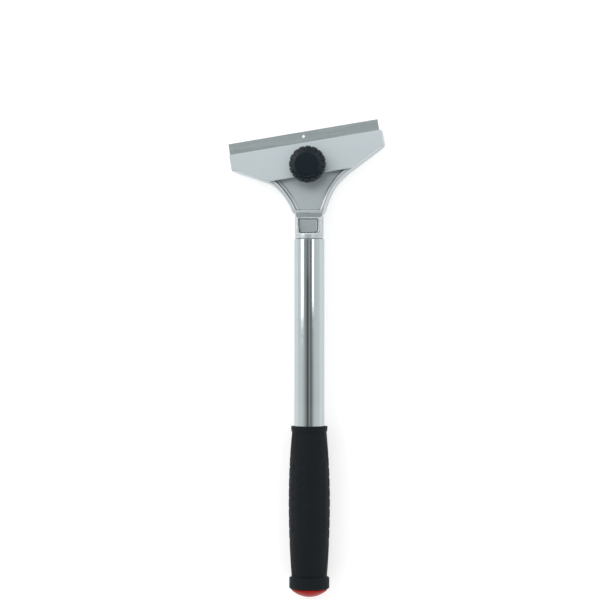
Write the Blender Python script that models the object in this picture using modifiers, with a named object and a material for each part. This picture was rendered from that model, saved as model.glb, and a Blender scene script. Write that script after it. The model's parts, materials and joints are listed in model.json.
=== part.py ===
"""Flat scraper: a straight blade clamped in a skewed die-cast head, on a tube handle with a rubber grip.

Lengths are in metres, angles in degrees. Three frames are used, each an empty that its pieces hang on:
tool        x to the right, y from the neck towards the blade, z up; its origin is on the handle's axis
            where the head's tray ends and the neck begins
head_plane  the blade's seat: x along the blade, y towards its outer edge, origin on the clamp bolt's axis
handle_axis z from the neck towards the end cap, y up
At the end the tool is moved so that the world's origin lies under the middle of its box, on the ground.
"""

from math import asin, atan2, cos, pi, radians, sin, sqrt, tan

import bmesh
import bpy
from mathutils import Matrix, Vector
from mathutils.geometry import interpolate_bezier

# Clearances and cutters
FIT_GAP = 0.0003
CUT_OVERRUN = 0.0020
WELD_DISTANCE = 0.00001

# Facets
ROUND_SIDES = 48
SMALL_ROUND_SIDES = 24
CORNER_STEPS = 3
FLANK_STEPS = 9
EDGE_STEPS = 2
SQUARE_EDGE_DEGREES = 60.0
SMOOTH_BELOW_DEGREES = 35.0

# How the head is set on the handle
HEAD_SKEW_DEGREES = 9.25
HEAD_BEND_DEGREES = 5.0
CLAMP_FROM_TRAY_END = 0.0308
CLAMP_SIDE_SHIFT = -0.0004

# Blade
BLADE_LENGTH = 0.1000
BLADE_WIDTH = 0.0180
BLADE_THICKNESS = 0.0010
BLADE_SIDE_SHIFT = -0.0006
BLADE_EDGE_FROM_CLAMP = 0.02335
BLADE_HOLE_DIAMETER = 0.0020
BLADE_HOLE_INSET = 0.0032
BLADE_GRIND_WIDTH = 0.0025
BLADE_KEEN_THICKNESS = 0.00012

# Clamp plate
PLATE_OVERHUNG_BY_BLADE = 0.0077
PLATE_LENGTH = 0.1028
PLATE_END_WIDTH = 0.00965
PLATE_WIDTH = 0.02165
PLATE_REAR_LENGTH = 0.0572
PLATE_THICKNESS = 0.0025
PLATE_CORNER_RADIUS = 0.0007
PLATE_EDGE_ROUNDING = 0.0004

# Clamp bolt, nut and washer
BOLT_DIAMETER = 0.0060
BOLT_PITCH = 0.0010
BOLT_LENGTH = 0.0148
BOLT_HEAD_ACROSS_FLATS = 0.0100
BOLT_HEAD_HEIGHT = 0.0040
BOLT_POINT_CHAMFER = 0.0006
NUT_ACROSS_FLATS = 0.0100
NUT_HEIGHT = 0.0050
NUT_SUNK_BELOW_BACK = 0.0007
WASHER_DIAMETER = 0.0110
WASHER_THICKNESS = 0.0016

# Knob
KNOB_DIAMETER = 0.0245
KNOB_HEIGHT = 0.0095
KNOB_TOP_DIAMETER = 0.0176
KNOB_HUB_DIAMETER = 0.0150
KNOB_HUB_HEIGHT = 0.0016
KNOB_UNDERSIDE_DIAMETER = 0.0228
KNOB_UNDERSIDE_HEIGHT = 0.0022
KNOB_WIDEST_FROM = 0.0042
KNOB_WIDEST_TO = 0.0054
KNOB_TOP_ROUNDING = 0.0005
KNOB_LOBES = 16
KNOB_POINTS_A_LOBE = 6
KNOB_NOTCH_DEPTH = 0.0007
KNOB_NOTCH_SHARPNESS = 3

# Head casting
HEAD_DEPTH = 0.0095
NOSE_THICKNESS = 0.0025
NOSE_BEVEL_WIDTH = 0.0114
TRAY_RIM_WIDTH = 0.0030
TRAY_END_BAR = 0.0018
TRAY_DEPTH = 0.0030
TRAY_UNDER_PLATE = 0.0015
TRAY_FLOOR_THICKNESS = 0.0022
TRAY_CORNER_RADIUS = 0.0018
LEFT_SHOULDER = 0.0113
RIGHT_SHOULDER = 0.0093
LEFT_FLANK_DEGREES = 14.0
RIGHT_FLANK_DEGREES = 17.5
LEFT_FLANK_LEAD_OUT = 0.0056
LEFT_FLANK_LEAD_IN = 0.0073
RIGHT_FLANK_LEAD_OUT = 0.0149
RIGHT_FLANK_LEAD_IN = 0.0168
BACK_WALL = 0.0030
BACK_FRONT_WALL = 0.0030
BACK_BOSS_DIAMETER = 0.0180
BACK_KEEL_WIDTH = 0.0060
BACK_RIB_WIDTH = 0.0024
BACK_RIB_FROM_CLAMP = 0.0210
BACK_ROOT_LENGTH = 0.0090

# Neck
NECK_BELOW_TUBE = 0.0006
NECK_LENGTH = 0.0168
NECK_FLAT_HEIGHT = 0.0049
NECK_RAMP_LENGTH = 0.0032
NECK_FLAT_END = 0.0129
NECK_ROUND_FROM = 0.0135
WINDOW_WIDTH = 0.0134
WINDOW_END_WIDTH = 0.0122
WINDOW_FROM = 0.0036
WINDOW_DEPTH = 0.0020
WINDOW_LIP = 0.0006
WINDOW_CORNER_RADIUS = 0.0020
WINDOW_FLOOR_SCALE = 0.8
SPIGOT_LENGTH = 0.0220
SPIGOT_CHAMFER = 0.0008

# Handle tube and the pin that holds it on the spigot
TUBE_DIAMETER = 0.0200
TUBE_WALL = 0.0010
TUBE_SHOWN = 0.1229
PIN_DIAMETER = 0.0030
PIN_LENGTH = 0.0065
PIN_FROM_NECK = 0.0100
PIN_CHAMFER = 0.0004

# Grip: its walls are measured from its bore
GRIP_LENGTH = 0.1069
GRIP_COLLAR_WALL = 0.0018
GRIP_COLLAR_FOOT_WALL = 0.00145
GRIP_COLLAR_LENGTH = 0.0040
GRIP_COLLAR_ROUNDING = 0.0007
GRIP_TOP_WALL = 0.00105
GRIP_BELLY_WALL = 0.0033
GRIP_BELLY_FROM_TOP = 0.0500
GRIP_WAIST_WALL = 0.00135
GRIP_FLANGE_WALL = 0.0029
GRIP_FLANGE_LENGTH = 0.0083
GRIP_FLANGE_SLOPE = 0.0012
GRIP_FLANGE_CHAMFER = 0.0012
GRIP_BELLY_STEPS = 7

# End cap
CAP_INSIDE_FLANGE = 0.0014
CAP_RIM_HEIGHT = 0.0006
CAP_DOME_HEIGHT = 0.0046
CAP_DOME_STEPS = 7
CAP_STEM_LENGTH = 0.0140
CAP_STEM_WALL = 0.0016
CAP_STEM_CHAMFER = 0.0006

# Places that follow from the sizes above
HEAD_SKEW = radians(HEAD_SKEW_DEGREES)
HEAD_BEND = radians(HEAD_BEND_DEGREES)
PLATE_UNDERSIDE = BLADE_THICKNESS + 2 * FIT_GAP
RIM_TOP = PLATE_UNDERSIDE - FIT_GAP
PLATE_TOP = PLATE_UNDERSIDE + PLATE_THICKNESS
PLATE_FRONT = BLADE_EDGE_FROM_CLAMP - PLATE_OVERHUNG_BY_BLADE
PLATE_REAR = PLATE_FRONT - PLATE_WIDTH
WASHER_BOTTOM = PLATE_TOP + FIT_GAP
KNOB_BOTTOM = WASHER_BOTTOM + WASHER_THICKNESS + FIT_GAP
LEDGE = BLADE_EDGE_FROM_CLAMP - BLADE_WIDTH - FIT_GAP
PAD_FRONT = PLATE_FRONT - NOSE_BEVEL_WIDTH
BOLT_HOLE_RADIUS = BOLT_DIAMETER / 2 + FIT_GAP
NECK_RADIUS = TUBE_DIAMETER / 2 - NECK_BELOW_TUBE
TUBE_BORE_RADIUS = TUBE_DIAMETER / 2 - TUBE_WALL
GRIP_BORE_RADIUS = TUBE_DIAMETER / 2 + FIT_GAP
GROUND = -GRIP_BORE_RADIUS - GRIP_BELLY_WALL
CLAMP_HEIGHT = GROUND + HEAD_DEPTH * cos(HEAD_BEND) + PAD_FRONT * sin(HEAD_BEND)
TRAY_END_HEIGHT = CLAMP_HEIGHT + CLAMP_FROM_TRAY_END * tan(HEAD_BEND) + RIM_TOP / cos(HEAD_BEND)
TUBE_TOP = NECK_LENGTH + FIT_GAP
GRIP_TOP = TUBE_TOP + TUBE_SHOWN
GRIP_END = GRIP_TOP + GRIP_LENGTH


def clear_scene():
    for thing in list(bpy.data.objects):
        bpy.data.objects.remove(thing, do_unlink=True)


def collection(name, in_render=True):
    made = bpy.data.collections.new(name)
    bpy.context.scene.collection.children.link(made)
    made.hide_render = not in_render
    return made


def principled(name, colour, roughness, metallic):
    """A plain surface of one colour, given as linear red, green and blue."""
    material = bpy.data.materials.new(name)
    material.use_nodes = True
    shader = material.node_tree.nodes["Principled BSDF"]
    shader.inputs["Base Color"].default_value = (*colour, 1.0)
    shader.inputs["Roughness"].default_value = roughness
    shader.inputs["Metallic"].default_value = metallic
    material.diffuse_color = (*colour, 1.0)
    return material


def empty(name, parent=None, location=(0, 0, 0), rotation=(0, 0, 0)):
    made = bpy.data.objects.new(name, None)
    PARTS.objects.link(made)
    made.parent = parent
    made.location = location
    made.rotation_euler = rotation
    return made


def place(name, mesh, parent, location=(0, 0, 0), rotation=(0, 0, 0), material=None):
    """Puts a mesh in the scene: with a material it is a piece of the scraper, without one a cutter."""
    made = bpy.data.objects.new(name, mesh)
    made.parent = parent
    made.location = location
    made.rotation_euler = rotation
    if material is None:
        CUTTERS.objects.link(made)
        made.hide_render = True
        made.display_type = "WIRE"
    else:
        PARTS.objects.link(made)
        mesh.materials.append(material)
    return made


def boolean(thing, other, operation="DIFFERENCE"):
    modifier = thing.modifiers.new(operation.lower() + "_" + other.name, "BOOLEAN")
    modifier.object = other
    modifier.operation = operation


def tidy_mesh(mesh):
    """Welds a mesh's loose caps and turns its faces outwards."""
    work = bmesh.new()
    work.from_mesh(mesh)
    bmesh.ops.remove_doubles(work, verts=work.verts, dist=WELD_DISTANCE)
    bmesh.ops.recalc_face_normals(work, faces=work.faces)
    work.to_mesh(mesh)
    work.free()
    return mesh


def extruded(name, outline, low, high):
    """A flat outline in x and y, as a filled curve with a thickness from low to high along z, made a mesh."""
    curve = bpy.data.curves.new(name + "_outline", "CURVE")
    curve.dimensions = "2D"
    curve.fill_mode = "BOTH"
    curve.extrude = (high - low) / 2
    spline = curve.splines.new("POLY")
    spline.points.add(len(outline) - 1)
    for point, (x, y) in zip(spline.points, outline):
        point.co = (x, y, 0, 1)
    spline.use_cyclic_u = True
    guide = bpy.data.objects.new(name + "_outline", curve)
    CUTTERS.objects.link(guide)
    bpy.context.view_layer.update()
    graph = bpy.context.evaluated_depsgraph_get()
    mesh = bpy.data.meshes.new_from_object(guide.evaluated_get(graph))
    mesh.name = name
    mesh.transform(Matrix.Translation((0, 0, (low + high) / 2)))
    bpy.data.objects.remove(guide, do_unlink=True)
    bpy.data.curves.remove(curve)
    return tidy_mesh(mesh)


def extruded_across(name, profile, half_length):
    """A side profile in y and z, extruded along x to both sides."""
    mesh = extruded(name, profile, -half_length, half_length)
    mesh.transform(Matrix(((0, 0, 1, 0), (1, 0, 0, 0), (0, 1, 0, 0), (0, 0, 0, 1))))
    return mesh


def turned(name, profile, sides, parent, closed=False, **where):
    """A profile of radius and height, running down its outer side, placed and turned about z."""
    mesh = bpy.data.meshes.new(name)
    edges = [(i, i + 1) for i in range(len(profile) - 1)]
    if closed:
        edges.append((len(profile) - 1, 0))
    mesh.from_pydata([(radius, 0, height) for radius, height in profile], edges, [])
    made = place(name, mesh, parent, **where)
    turn = made.modifiers.new("turn", "SCREW")
    turn.axis = "Z"
    turn.steps = sides
    turn.render_steps = sides
    turn.use_merge_vertices = True
    turn.merge_threshold = WELD_DISTANCE
    turn.use_smooth_shade = True
    return made


def cylinder(name, radius, low, high, sides):
    """A round bar along z from low to high."""
    mesh = bpy.data.meshes.new(name)
    work = bmesh.new()
    middle = Matrix.Translation((0, 0, (low + high) / 2))
    bmesh.ops.create_cone(
        work, cap_ends=True, segments=sides, radius1=radius, radius2=radius, depth=high - low, matrix=middle
    )
    work.to_mesh(mesh)
    work.free()
    return mesh


def box(name, low, high):
    """A box between two opposite corners."""
    mesh = bpy.data.meshes.new(name)
    low, high = Vector(low), Vector(high)
    work = bmesh.new()
    size = Matrix.Diagonal((*(high - low), 1))
    bmesh.ops.create_cube(work, size=1, matrix=Matrix.Translation((low + high) / 2) @ size)
    work.to_mesh(mesh)
    work.free()
    return mesh


def hexagon(across_flats):
    radius = across_flats / sqrt(3)
    return [(radius * cos(i * pi / 3), radius * sin(i * pi / 3)) for i in range(6)]


def rounded(outline, radii):
    """The outline with each corner of a given radius replaced by an arc; a radius of 0 keeps the point."""
    made = []
    count = len(outline)
    for i, radius in enumerate(radii):
        corner = Vector(outline[i])
        if radius == 0:
            made.append(tuple(corner))
            continue
        before = (Vector(outline[i - 1]) - corner).normalized()
        after = (Vector(outline[(i + 1) % count]) - corner).normalized()
        half = before.angle(after) / 2
        middle = corner + (before + after).normalized() * (radius / sin(half))
        start = corner + before * (radius / tan(half)) - middle
        turn = (pi - 2 * half) * (1 if before.cross(after) < 0 else -1)
        for step in range(CORNER_STEPS + 1):
            arm = Matrix.Rotation(turn * step / CORNER_STEPS, 2) @ start
            made.append(tuple(middle + arm))
    return made


def inset(outline, distance):
    """The outline moved inwards by a distance, each corner kept a corner. The outline runs anticlockwise."""
    made = []
    count = len(outline)
    for i in range(count):
        here = Vector(outline[i])
        arriving = (here - Vector(outline[i - 1])).normalized()
        leaving = (Vector(outline[(i + 1) % count]) - here).normalized()
        inward = Vector((-arriving.y - leaving.y, arriving.x + leaving.x)).normalized()
        made.append(tuple(here + inward * (distance / inward.dot(Vector((-leaving.y, leaving.x))))))
    return made


def kept_below(outline, limit):
    """The part of the outline with y up to the limit."""
    made = []
    for i, here in enumerate(outline):
        before = outline[i - 1]
        if (before[1] <= limit) != (here[1] <= limit):
            share = (limit - before[1]) / (here[1] - before[1])
            made.append((before[0] + share * (here[0] - before[0]), limit))
        if here[1] <= limit:
            made.append(here)
    return made


def on_head_plane(x, y):
    """The point of the head's plane that lies over the tool's x and y."""
    way = Matrix.Rotation(-HEAD_SKEW, 2) @ Vector((x - CLAMP_SIDE_SHIFT, y - CLAMP_FROM_TRAY_END))
    return Vector((way.x, way.y / cos(HEAD_BEND)))


def plate_corners():
    """The clamp plate's six corners, anticlockwise from its front right corner."""
    end_low = PLATE_FRONT - PLATE_END_WIDTH
    return [
        (PLATE_LENGTH / 2, PLATE_FRONT),
        (-PLATE_LENGTH / 2, PLATE_FRONT),
        (-PLATE_LENGTH / 2, end_low),
        (-PLATE_REAR_LENGTH / 2, PLATE_REAR),
        (PLATE_REAR_LENGTH / 2, PLATE_REAR),
        (PLATE_LENGTH / 2, end_low),
    ]


def flank(side, shoulder, lean_degrees, lead_out, lead_in, end_y):
    """One flank of the head, from the plate's rear corner down to the neck.

    A cubic curve leaves the corner along the plate's slanted side and reaches the tray's shoulder with
    the given lean from the handle's axis. side is 1 on the right and -1 on the left.
    """
    corner = Vector((side * PLATE_REAR_LENGTH / 2, PLATE_REAR))
    slant = corner - Vector((side * PLATE_LENGTH / 2, PLATE_FRONT - PLATE_END_WIDTH))
    lean = radians(lean_degrees)
    end = on_head_plane(side * shoulder, end_y)
    above = on_head_plane(side * (shoulder + lead_in * sin(lean)), end_y + lead_in * cos(lean))
    curve = interpolate_bezier(corner, corner + slant.normalized() * lead_out, above, end, FLANK_STEPS + 1)
    return [(point.x, point.y) for point in curve]


def head_corners(end_y=0):
    """The casting's outline, anticlockwise: the plate's outline in front, then both flanks to the tray's end."""
    front_right, front_left, low_left, _, _, low_right = plate_corners()
    left = flank(-1, LEFT_SHOULDER, LEFT_FLANK_DEGREES, LEFT_FLANK_LEAD_OUT, LEFT_FLANK_LEAD_IN, end_y)
    right = flank(1, RIGHT_SHOULDER, RIGHT_FLANK_DEGREES, RIGHT_FLANK_LEAD_OUT, RIGHT_FLANK_LEAD_IN, end_y)
    return [front_right, front_left, low_left, *left, *reversed(right), low_right]


def head_outline():
    """The casting's outline with its front corners and its shoulders rounded."""
    points = head_corners()
    radii = [0] * len(points)
    for front in (0, 1, 2, -1):
        radii[front] = PLATE_CORNER_RADIUS
    for shoulder in (FLANK_STEPS + 3, FLANK_STEPS + 4):
        radii[shoulder] = TRAY_CORNER_RADIUS
    return rounded(points, radii)


def make_blade():
    """A steel strip with its ground edge inside the head and its blunt back outside, and one small hole."""
    half = BLADE_THICKNESS / 2
    keen = BLADE_KEEN_THICKNESS / 2
    back = BLADE_WIDTH / 2
    profile = [
        (back, -half),
        (back, half),
        (BLADE_GRIND_WIDTH - back, half),
        (-back, keen),
        (-back, -keen),
        (BLADE_GRIND_WIDTH - back, -half),
    ]
    middle = (BLADE_SIDE_SHIFT, BLADE_EDGE_FROM_CLAMP - back, FIT_GAP + half)
    mesh = extruded_across("blade", profile, BLADE_LENGTH / 2)
    blade = place("blade", mesh, HEAD_PLANE, location=middle, material=STEEL)
    reach = half + CUT_OVERRUN
    hole = cylinder("blade_hole", BLADE_HOLE_DIAMETER / 2, -reach, reach, SMALL_ROUND_SIDES)
    at = (middle[0], BLADE_EDGE_FROM_CLAMP - BLADE_HOLE_INSET, middle[2])
    boolean(blade, place("blade_hole", hole, HEAD_PLANE, location=at))


def make_clamp_plate():
    corners = plate_corners()
    outline = rounded(corners, [PLATE_CORNER_RADIUS] * len(corners))
    mesh = extruded("clamp_plate", outline, PLATE_UNDERSIDE, PLATE_TOP)
    plate = place("clamp_plate", mesh, HEAD_PLANE, material=SATIN_METAL)
    edge = plate.modifiers.new("edge", "BEVEL")
    edge.width = PLATE_EDGE_ROUNDING
    edge.segments = EDGE_STEPS
    edge.angle_limit = radians(SQUARE_EDGE_DEGREES)
    low, high = PLATE_UNDERSIDE - CUT_OVERRUN, PLATE_TOP + CUT_OVERRUN
    hole = cylinder("plate_bolt_hole", BOLT_HOLE_RADIUS, low, high, SMALL_ROUND_SIDES)
    boolean(plate, place("plate_bolt_hole", hole, HEAD_PLANE))


def make_washer():
    outer, inner = WASHER_DIAMETER / 2, BOLT_HOLE_RADIUS
    profile = [(outer, WASHER_THICKNESS), (outer, 0), (inner, 0), (inner, WASHER_THICKNESS)]
    turned(
        "knob_washer",
        profile,
        SMALL_ROUND_SIDES,
        HEAD_PLANE,
        closed=True,
        location=(0, 0, WASHER_BOTTOM),
        material=ZINC,
    )


def make_bolt():
    """The knob's bolt: its hexagonal head is held in the knob, and its shank ends in the nut behind the head."""
    radius = BOLT_DIAMETER / 2
    tip = radius - BOLT_POINT_CHAMFER
    shank = [
        (0, BOLT_HEAD_HEIGHT / 2),
        (radius, BOLT_HEAD_HEIGHT / 2),
        (radius, BOLT_POINT_CHAMFER - BOLT_LENGTH),
        (tip, -BOLT_LENGTH),
        (0, -BOLT_LENGTH),
    ]
    seat = (0, 0, KNOB_BOTTOM)
    bolt = turned("knob_bolt", shank, SMALL_ROUND_SIDES, HEAD_PLANE, location=seat, material=ZINC)
    head = extruded("bolt_head", hexagon(BOLT_HEAD_ACROSS_FLATS), 0, BOLT_HEAD_HEIGHT)
    boolean(bolt, place("bolt_head", head, HEAD_PLANE, location=seat), "UNION")


def make_nut():
    low = NUT_SUNK_BELOW_BACK - HEAD_DEPTH
    mesh = extruded("clamp_nut", hexagon(NUT_ACROSS_FLATS), low, low + NUT_HEIGHT)
    nut = place("clamp_nut", mesh, HEAD_PLANE, material=ZINC)
    high = low + NUT_HEIGHT + CUT_OVERRUN
    thread = cylinder("nut_thread", BOLT_HOLE_RADIUS, low - CUT_OVERRUN, high, SMALL_ROUND_SIDES)
    boolean(nut, place("nut_thread", thread, HEAD_PLANE))


def knob_outline():
    """The knob's widest section: round lobes, between which the radius dips to narrow notches."""
    count = KNOB_LOBES * KNOB_POINTS_A_LOBE
    outline = []
    for step in range(count):
        from_notch = step % KNOB_POINTS_A_LOBE / KNOB_POINTS_A_LOBE
        radius = KNOB_DIAMETER / 2 - KNOB_NOTCH_DEPTH * abs(1 - 2 * from_notch) ** KNOB_NOTCH_SHARPNESS
        angle = 2 * pi * step / count
        outline.append((radius * cos(angle), radius * sin(angle)))
    return outline


def drawn_up(name, outline, sections):
    """A loft through sections of one outline, each given by its height and its scale, closed at both ends."""
    count = len(outline)
    points = [(x * scale, y * scale, height) for height, scale in sections for x, y in outline]
    faces = [tuple(reversed(range(count))), tuple(range(len(points) - count, len(points)))]
    for ring in range(len(sections) - 1):
        for i in range(count):
            here, after = ring * count + i, ring * count + (i + 1) % count
            faces.append((here, after, after + count, here + count))
    mesh = bpy.data.meshes.new(name)
    mesh.from_pydata(points, [], faces)
    return mesh


def make_knob():
    """A low round knob: a hub, a lobed rim and a sloping lobed shoulder up to the flat top."""
    radii = [
        (0, KNOB_HUB_DIAMETER),
        (KNOB_HUB_HEIGHT, KNOB_HUB_DIAMETER),
        (KNOB_UNDERSIDE_HEIGHT, KNOB_UNDERSIDE_DIAMETER),
        (KNOB_WIDEST_FROM, KNOB_DIAMETER),
        (KNOB_WIDEST_TO, KNOB_DIAMETER),
        (KNOB_HEIGHT - KNOB_TOP_ROUNDING, KNOB_TOP_DIAMETER),
        (KNOB_HEIGHT, KNOB_TOP_DIAMETER - 2 * KNOB_TOP_ROUNDING),
    ]
    sections = [(height, diameter / KNOB_DIAMETER) for height, diameter in radii]
    seat = (0, 0, KNOB_BOTTOM)
    mesh = drawn_up("knob", knob_outline(), sections)
    knob = place("knob", mesh, HEAD_PLANE, location=seat, material=BLACK_PLASTIC)
    socket = hexagon(BOLT_HEAD_ACROSS_FLATS + 2 * FIT_GAP)
    pocket = extruded("knob_socket", socket, -CUT_OVERRUN, BOLT_HEAD_HEIGHT + FIT_GAP)
    boolean(knob, place("knob_socket", pocket, HEAD_PLANE, location=seat))


def cut_blade_seat(casting):
    """Lowers the casting in front of the ledge that the blade's inner edge meets."""
    far = PLATE_LENGTH / 2 + CUT_OVERRUN
    low = (-far, LEDGE, 0)
    high = (far, PLATE_FRONT + CUT_OVERRUN, RIM_TOP + CUT_OVERRUN)
    boolean(casting, place("blade_seat", box("blade_seat", low, high), HEAD_PLANE))


def cut_nose(casting):
    """Bevels the casting's underside from the flat pad up to its thin front edge."""
    rise = (HEAD_DEPTH - NOSE_THICKNESS) / NOSE_BEVEL_WIDTH
    past = CUT_OVERRUN
    profile = [
        (PAD_FRONT - past, -HEAD_DEPTH - rise * past),
        (PLATE_FRONT + past, -NOSE_THICKNESS + rise * past),
        (PLATE_FRONT + past, -HEAD_DEPTH - rise * past),
    ]
    mesh = extruded_across("nose_bevel", profile, PLATE_LENGTH / 2 + past)
    boolean(casting, place("nose_bevel", mesh, HEAD_PLANE))


def cut_tray(casting):
    """Sinks the front of the head between its rims; the tray runs a little way under the plate."""
    points = inset(head_corners(TRAY_END_BAR - TRAY_RIM_WIDTH), TRAY_RIM_WIDTH)
    outline = kept_below(points, PLATE_REAR + TRAY_UNDER_PLATE)
    mesh = extruded("tray", outline, RIM_TOP - TRAY_DEPTH, RIM_TOP + CUT_OVERRUN)
    boolean(casting, place("tray", mesh, HEAD_PLANE))


def cut_back(casting):
    """Hollows the head from behind, leaving walls, the bolt's boss, a keel, two ribs and the neck's root."""
    outline = kept_below(inset(head_corners(), BACK_WALL), PAD_FRONT - BACK_FRONT_WALL)
    low = -HEAD_DEPTH - CUT_OVERRUN
    high = RIM_TOP - TRAY_DEPTH - TRAY_FLOOR_THICKNESS
    hollow = place("back_hollow", extruded("back_hollow", outline, low, high), HEAD_PLANE)
    low, high = low - CUT_OVERRUN, high + CUT_OVERRUN
    boss = cylinder("back_boss", BACK_BOSS_DIAMETER / 2, low, high, ROUND_SIDES)
    boolean(hollow, place("back_boss", boss, HEAD_PLANE))
    end = on_head_plane(0, 0)
    keel = box("back_keel", (-BACK_KEEL_WIDTH / 2, 0, low), (BACK_KEEL_WIDTH / 2, end.length, high))
    towards_neck = (0, 0, atan2(end.y, end.x) - pi / 2)
    boolean(hollow, place("back_keel", keel, HEAD_PLANE, rotation=towards_neck))
    for side, name in ((-1, "left_rib"), (1, "right_rib")):
        near = side * BACK_RIB_FROM_CLAMP - BACK_RIB_WIDTH / 2
        rib = box(name, (near, end.y, low), (near + BACK_RIB_WIDTH, PAD_FRONT, high))
        boolean(hollow, place(name, rib, HEAD_PLANE))
    root = cylinder("neck_root", NECK_RADIUS, -BACK_ROOT_LENGTH, NECK_LENGTH, ROUND_SIDES)
    boolean(hollow, place("neck_root", root, HANDLE_AXIS))
    boolean(casting, hollow)


def add_neck(casting):
    """The round neck and the spigot that the tube slides over, as one turned bar."""
    neck, spigot = NECK_RADIUS, TUBE_BORE_RADIUS - FIT_GAP
    end = NECK_LENGTH + SPIGOT_LENGTH
    start = -TRAY_END_BAR / 2
    profile = [
        (0, end),
        (spigot - SPIGOT_CHAMFER, end),
        (spigot, end - SPIGOT_CHAMFER),
        (spigot, NECK_LENGTH),
        (neck, NECK_LENGTH),
        (neck, start),
        (0, start),
    ]
    boolean(casting, turned("neck_bar", profile, ROUND_SIDES, HANDLE_AXIS), "UNION")


def cut_neck_front(casting):
    """Cuts the neck's front to a flat with a ramp at each end, and sinks a window whose walls slope under a straight lip."""
    top = NECK_RADIUS + CUT_OVERRUN
    foot = TRAY_END_HEIGHT - TRAY_RIM_WIDTH * tan(HEAD_BEND)
    rise = (NECK_RADIUS - NECK_FLAT_HEIGHT) / (NECK_ROUND_FROM - NECK_FLAT_END)
    profile = [
        (TRAY_RIM_WIDTH, top),
        (TRAY_RIM_WIDTH, foot),
        (0, foot),
        (-NECK_RAMP_LENGTH, NECK_FLAT_HEIGHT),
        (-NECK_FLAT_END, NECK_FLAT_HEIGHT),
        (-NECK_FLAT_END - (top - NECK_FLAT_HEIGHT) / rise, top),
    ]
    mesh = extruded_across("neck_front", profile, NECK_RADIUS + CUT_OVERRUN)
    boolean(casting, place("neck_front", mesh, TOOL))
    side, end_side = WINDOW_WIDTH / 2, WINDOW_END_WIDTH / 2
    reach = (NECK_FLAT_END - WINDOW_FROM) / 2
    corners = [(side, reach), (-side, reach), (-end_side, -reach), (end_side, -reach)]
    outline = rounded(corners, [WINDOW_CORNER_RADIUS] * len(corners))
    sections = [(-WINDOW_DEPTH, WINDOW_FLOOR_SCALE), (-WINDOW_LIP, 1), (top - NECK_FLAT_HEIGHT, 1)]
    at = (0, reach - NECK_FLAT_END, NECK_FLAT_HEIGHT)
    window = place("neck_window", drawn_up("neck_window", outline, sections), TOOL, location=at)
    boolean(casting, window)


def cut_fasteners(casting):
    """The bolt's hole, the nut's pocket behind it and the pin's hole in the spigot."""
    low, high = -HEAD_DEPTH - CUT_OVERRUN, RIM_TOP + CUT_OVERRUN
    hole = cylinder("bolt_hole", BOLT_HOLE_RADIUS, low, high, SMALL_ROUND_SIDES)
    boolean(casting, place("bolt_hole", hole, HEAD_PLANE))
    ceiling = NUT_SUNK_BELOW_BACK - HEAD_DEPTH + NUT_HEIGHT + FIT_GAP
    pocket = extruded("nut_pocket", hexagon(NUT_ACROSS_FLATS + 2 * FIT_GAP), low, ceiling)
    boolean(casting, place("nut_pocket", pocket, HEAD_PLANE))
    boolean(casting, PIN_HOLE)


def make_casting():
    mesh = extruded("head_casting", head_outline(), -HEAD_DEPTH, RIM_TOP)
    casting = place("head_casting", mesh, HEAD_PLANE, material=SILVER_CASTING)
    cut_back(casting)
    cut_nose(casting)
    add_neck(casting)
    cut_tray(casting)
    cut_blade_seat(casting)
    cut_neck_front(casting)
    cut_fasteners(casting)


def make_tube():
    outer, inner = TUBE_DIAMETER / 2, TUBE_BORE_RADIUS
    end = GRIP_END - FIT_GAP
    profile = [(outer, end), (outer, TUBE_TOP), (inner, TUBE_TOP), (inner, end)]
    tube = turned("handle_tube", profile, ROUND_SIDES, HANDLE_AXIS, closed=True, material=CHROME)
    boolean(tube, PIN_HOLE)


def make_pin_hole():
    """A hole from under the tube, through its wall and into the spigot, one gap wider and deeper than the pin."""
    bottom = TUBE_DIAMETER / 2 + CUT_OVERRUN
    top = TUBE_DIAMETER / 2 - PIN_LENGTH - 2 * FIT_GAP
    mesh = cylinder("pin_hole", PIN_DIAMETER / 2 + FIT_GAP, -bottom, -top, SMALL_ROUND_SIDES)
    return place("pin_hole", mesh, TOOL, location=(0, -NECK_LENGTH - PIN_FROM_NECK, 0))


def make_pin():
    radius = PIN_DIAMETER / 2
    profile = [
        (0, PIN_LENGTH),
        (radius - PIN_CHAMFER, PIN_LENGTH),
        (radius, PIN_LENGTH - PIN_CHAMFER),
        (radius, PIN_CHAMFER),
        (radius - PIN_CHAMFER, 0),
        (0, 0),
    ]
    at = (0, -NECK_LENGTH - PIN_FROM_NECK, FIT_GAP - TUBE_DIAMETER / 2)
    turned("tube_pin", profile, SMALL_ROUND_SIDES, TOOL, location=at, material=ZINC)


def belly(from_top):
    """The grip's radius at a distance from its top: two parabolas that meet at the belly."""
    if from_top < GRIP_BELLY_FROM_TOP:
        share = (GRIP_BELLY_FROM_TOP - from_top) / (GRIP_BELLY_FROM_TOP - GRIP_COLLAR_LENGTH)
        fall = (GRIP_BELLY_WALL - GRIP_TOP_WALL) * share**2
    else:
        share = (from_top - GRIP_BELLY_FROM_TOP) / (GRIP_LENGTH - GRIP_FLANGE_LENGTH - GRIP_BELLY_FROM_TOP)
        fall = (GRIP_BELLY_WALL - GRIP_WAIST_WALL) * share**2
    return GRIP_BORE_RADIUS + GRIP_BELLY_WALL - fall


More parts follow.
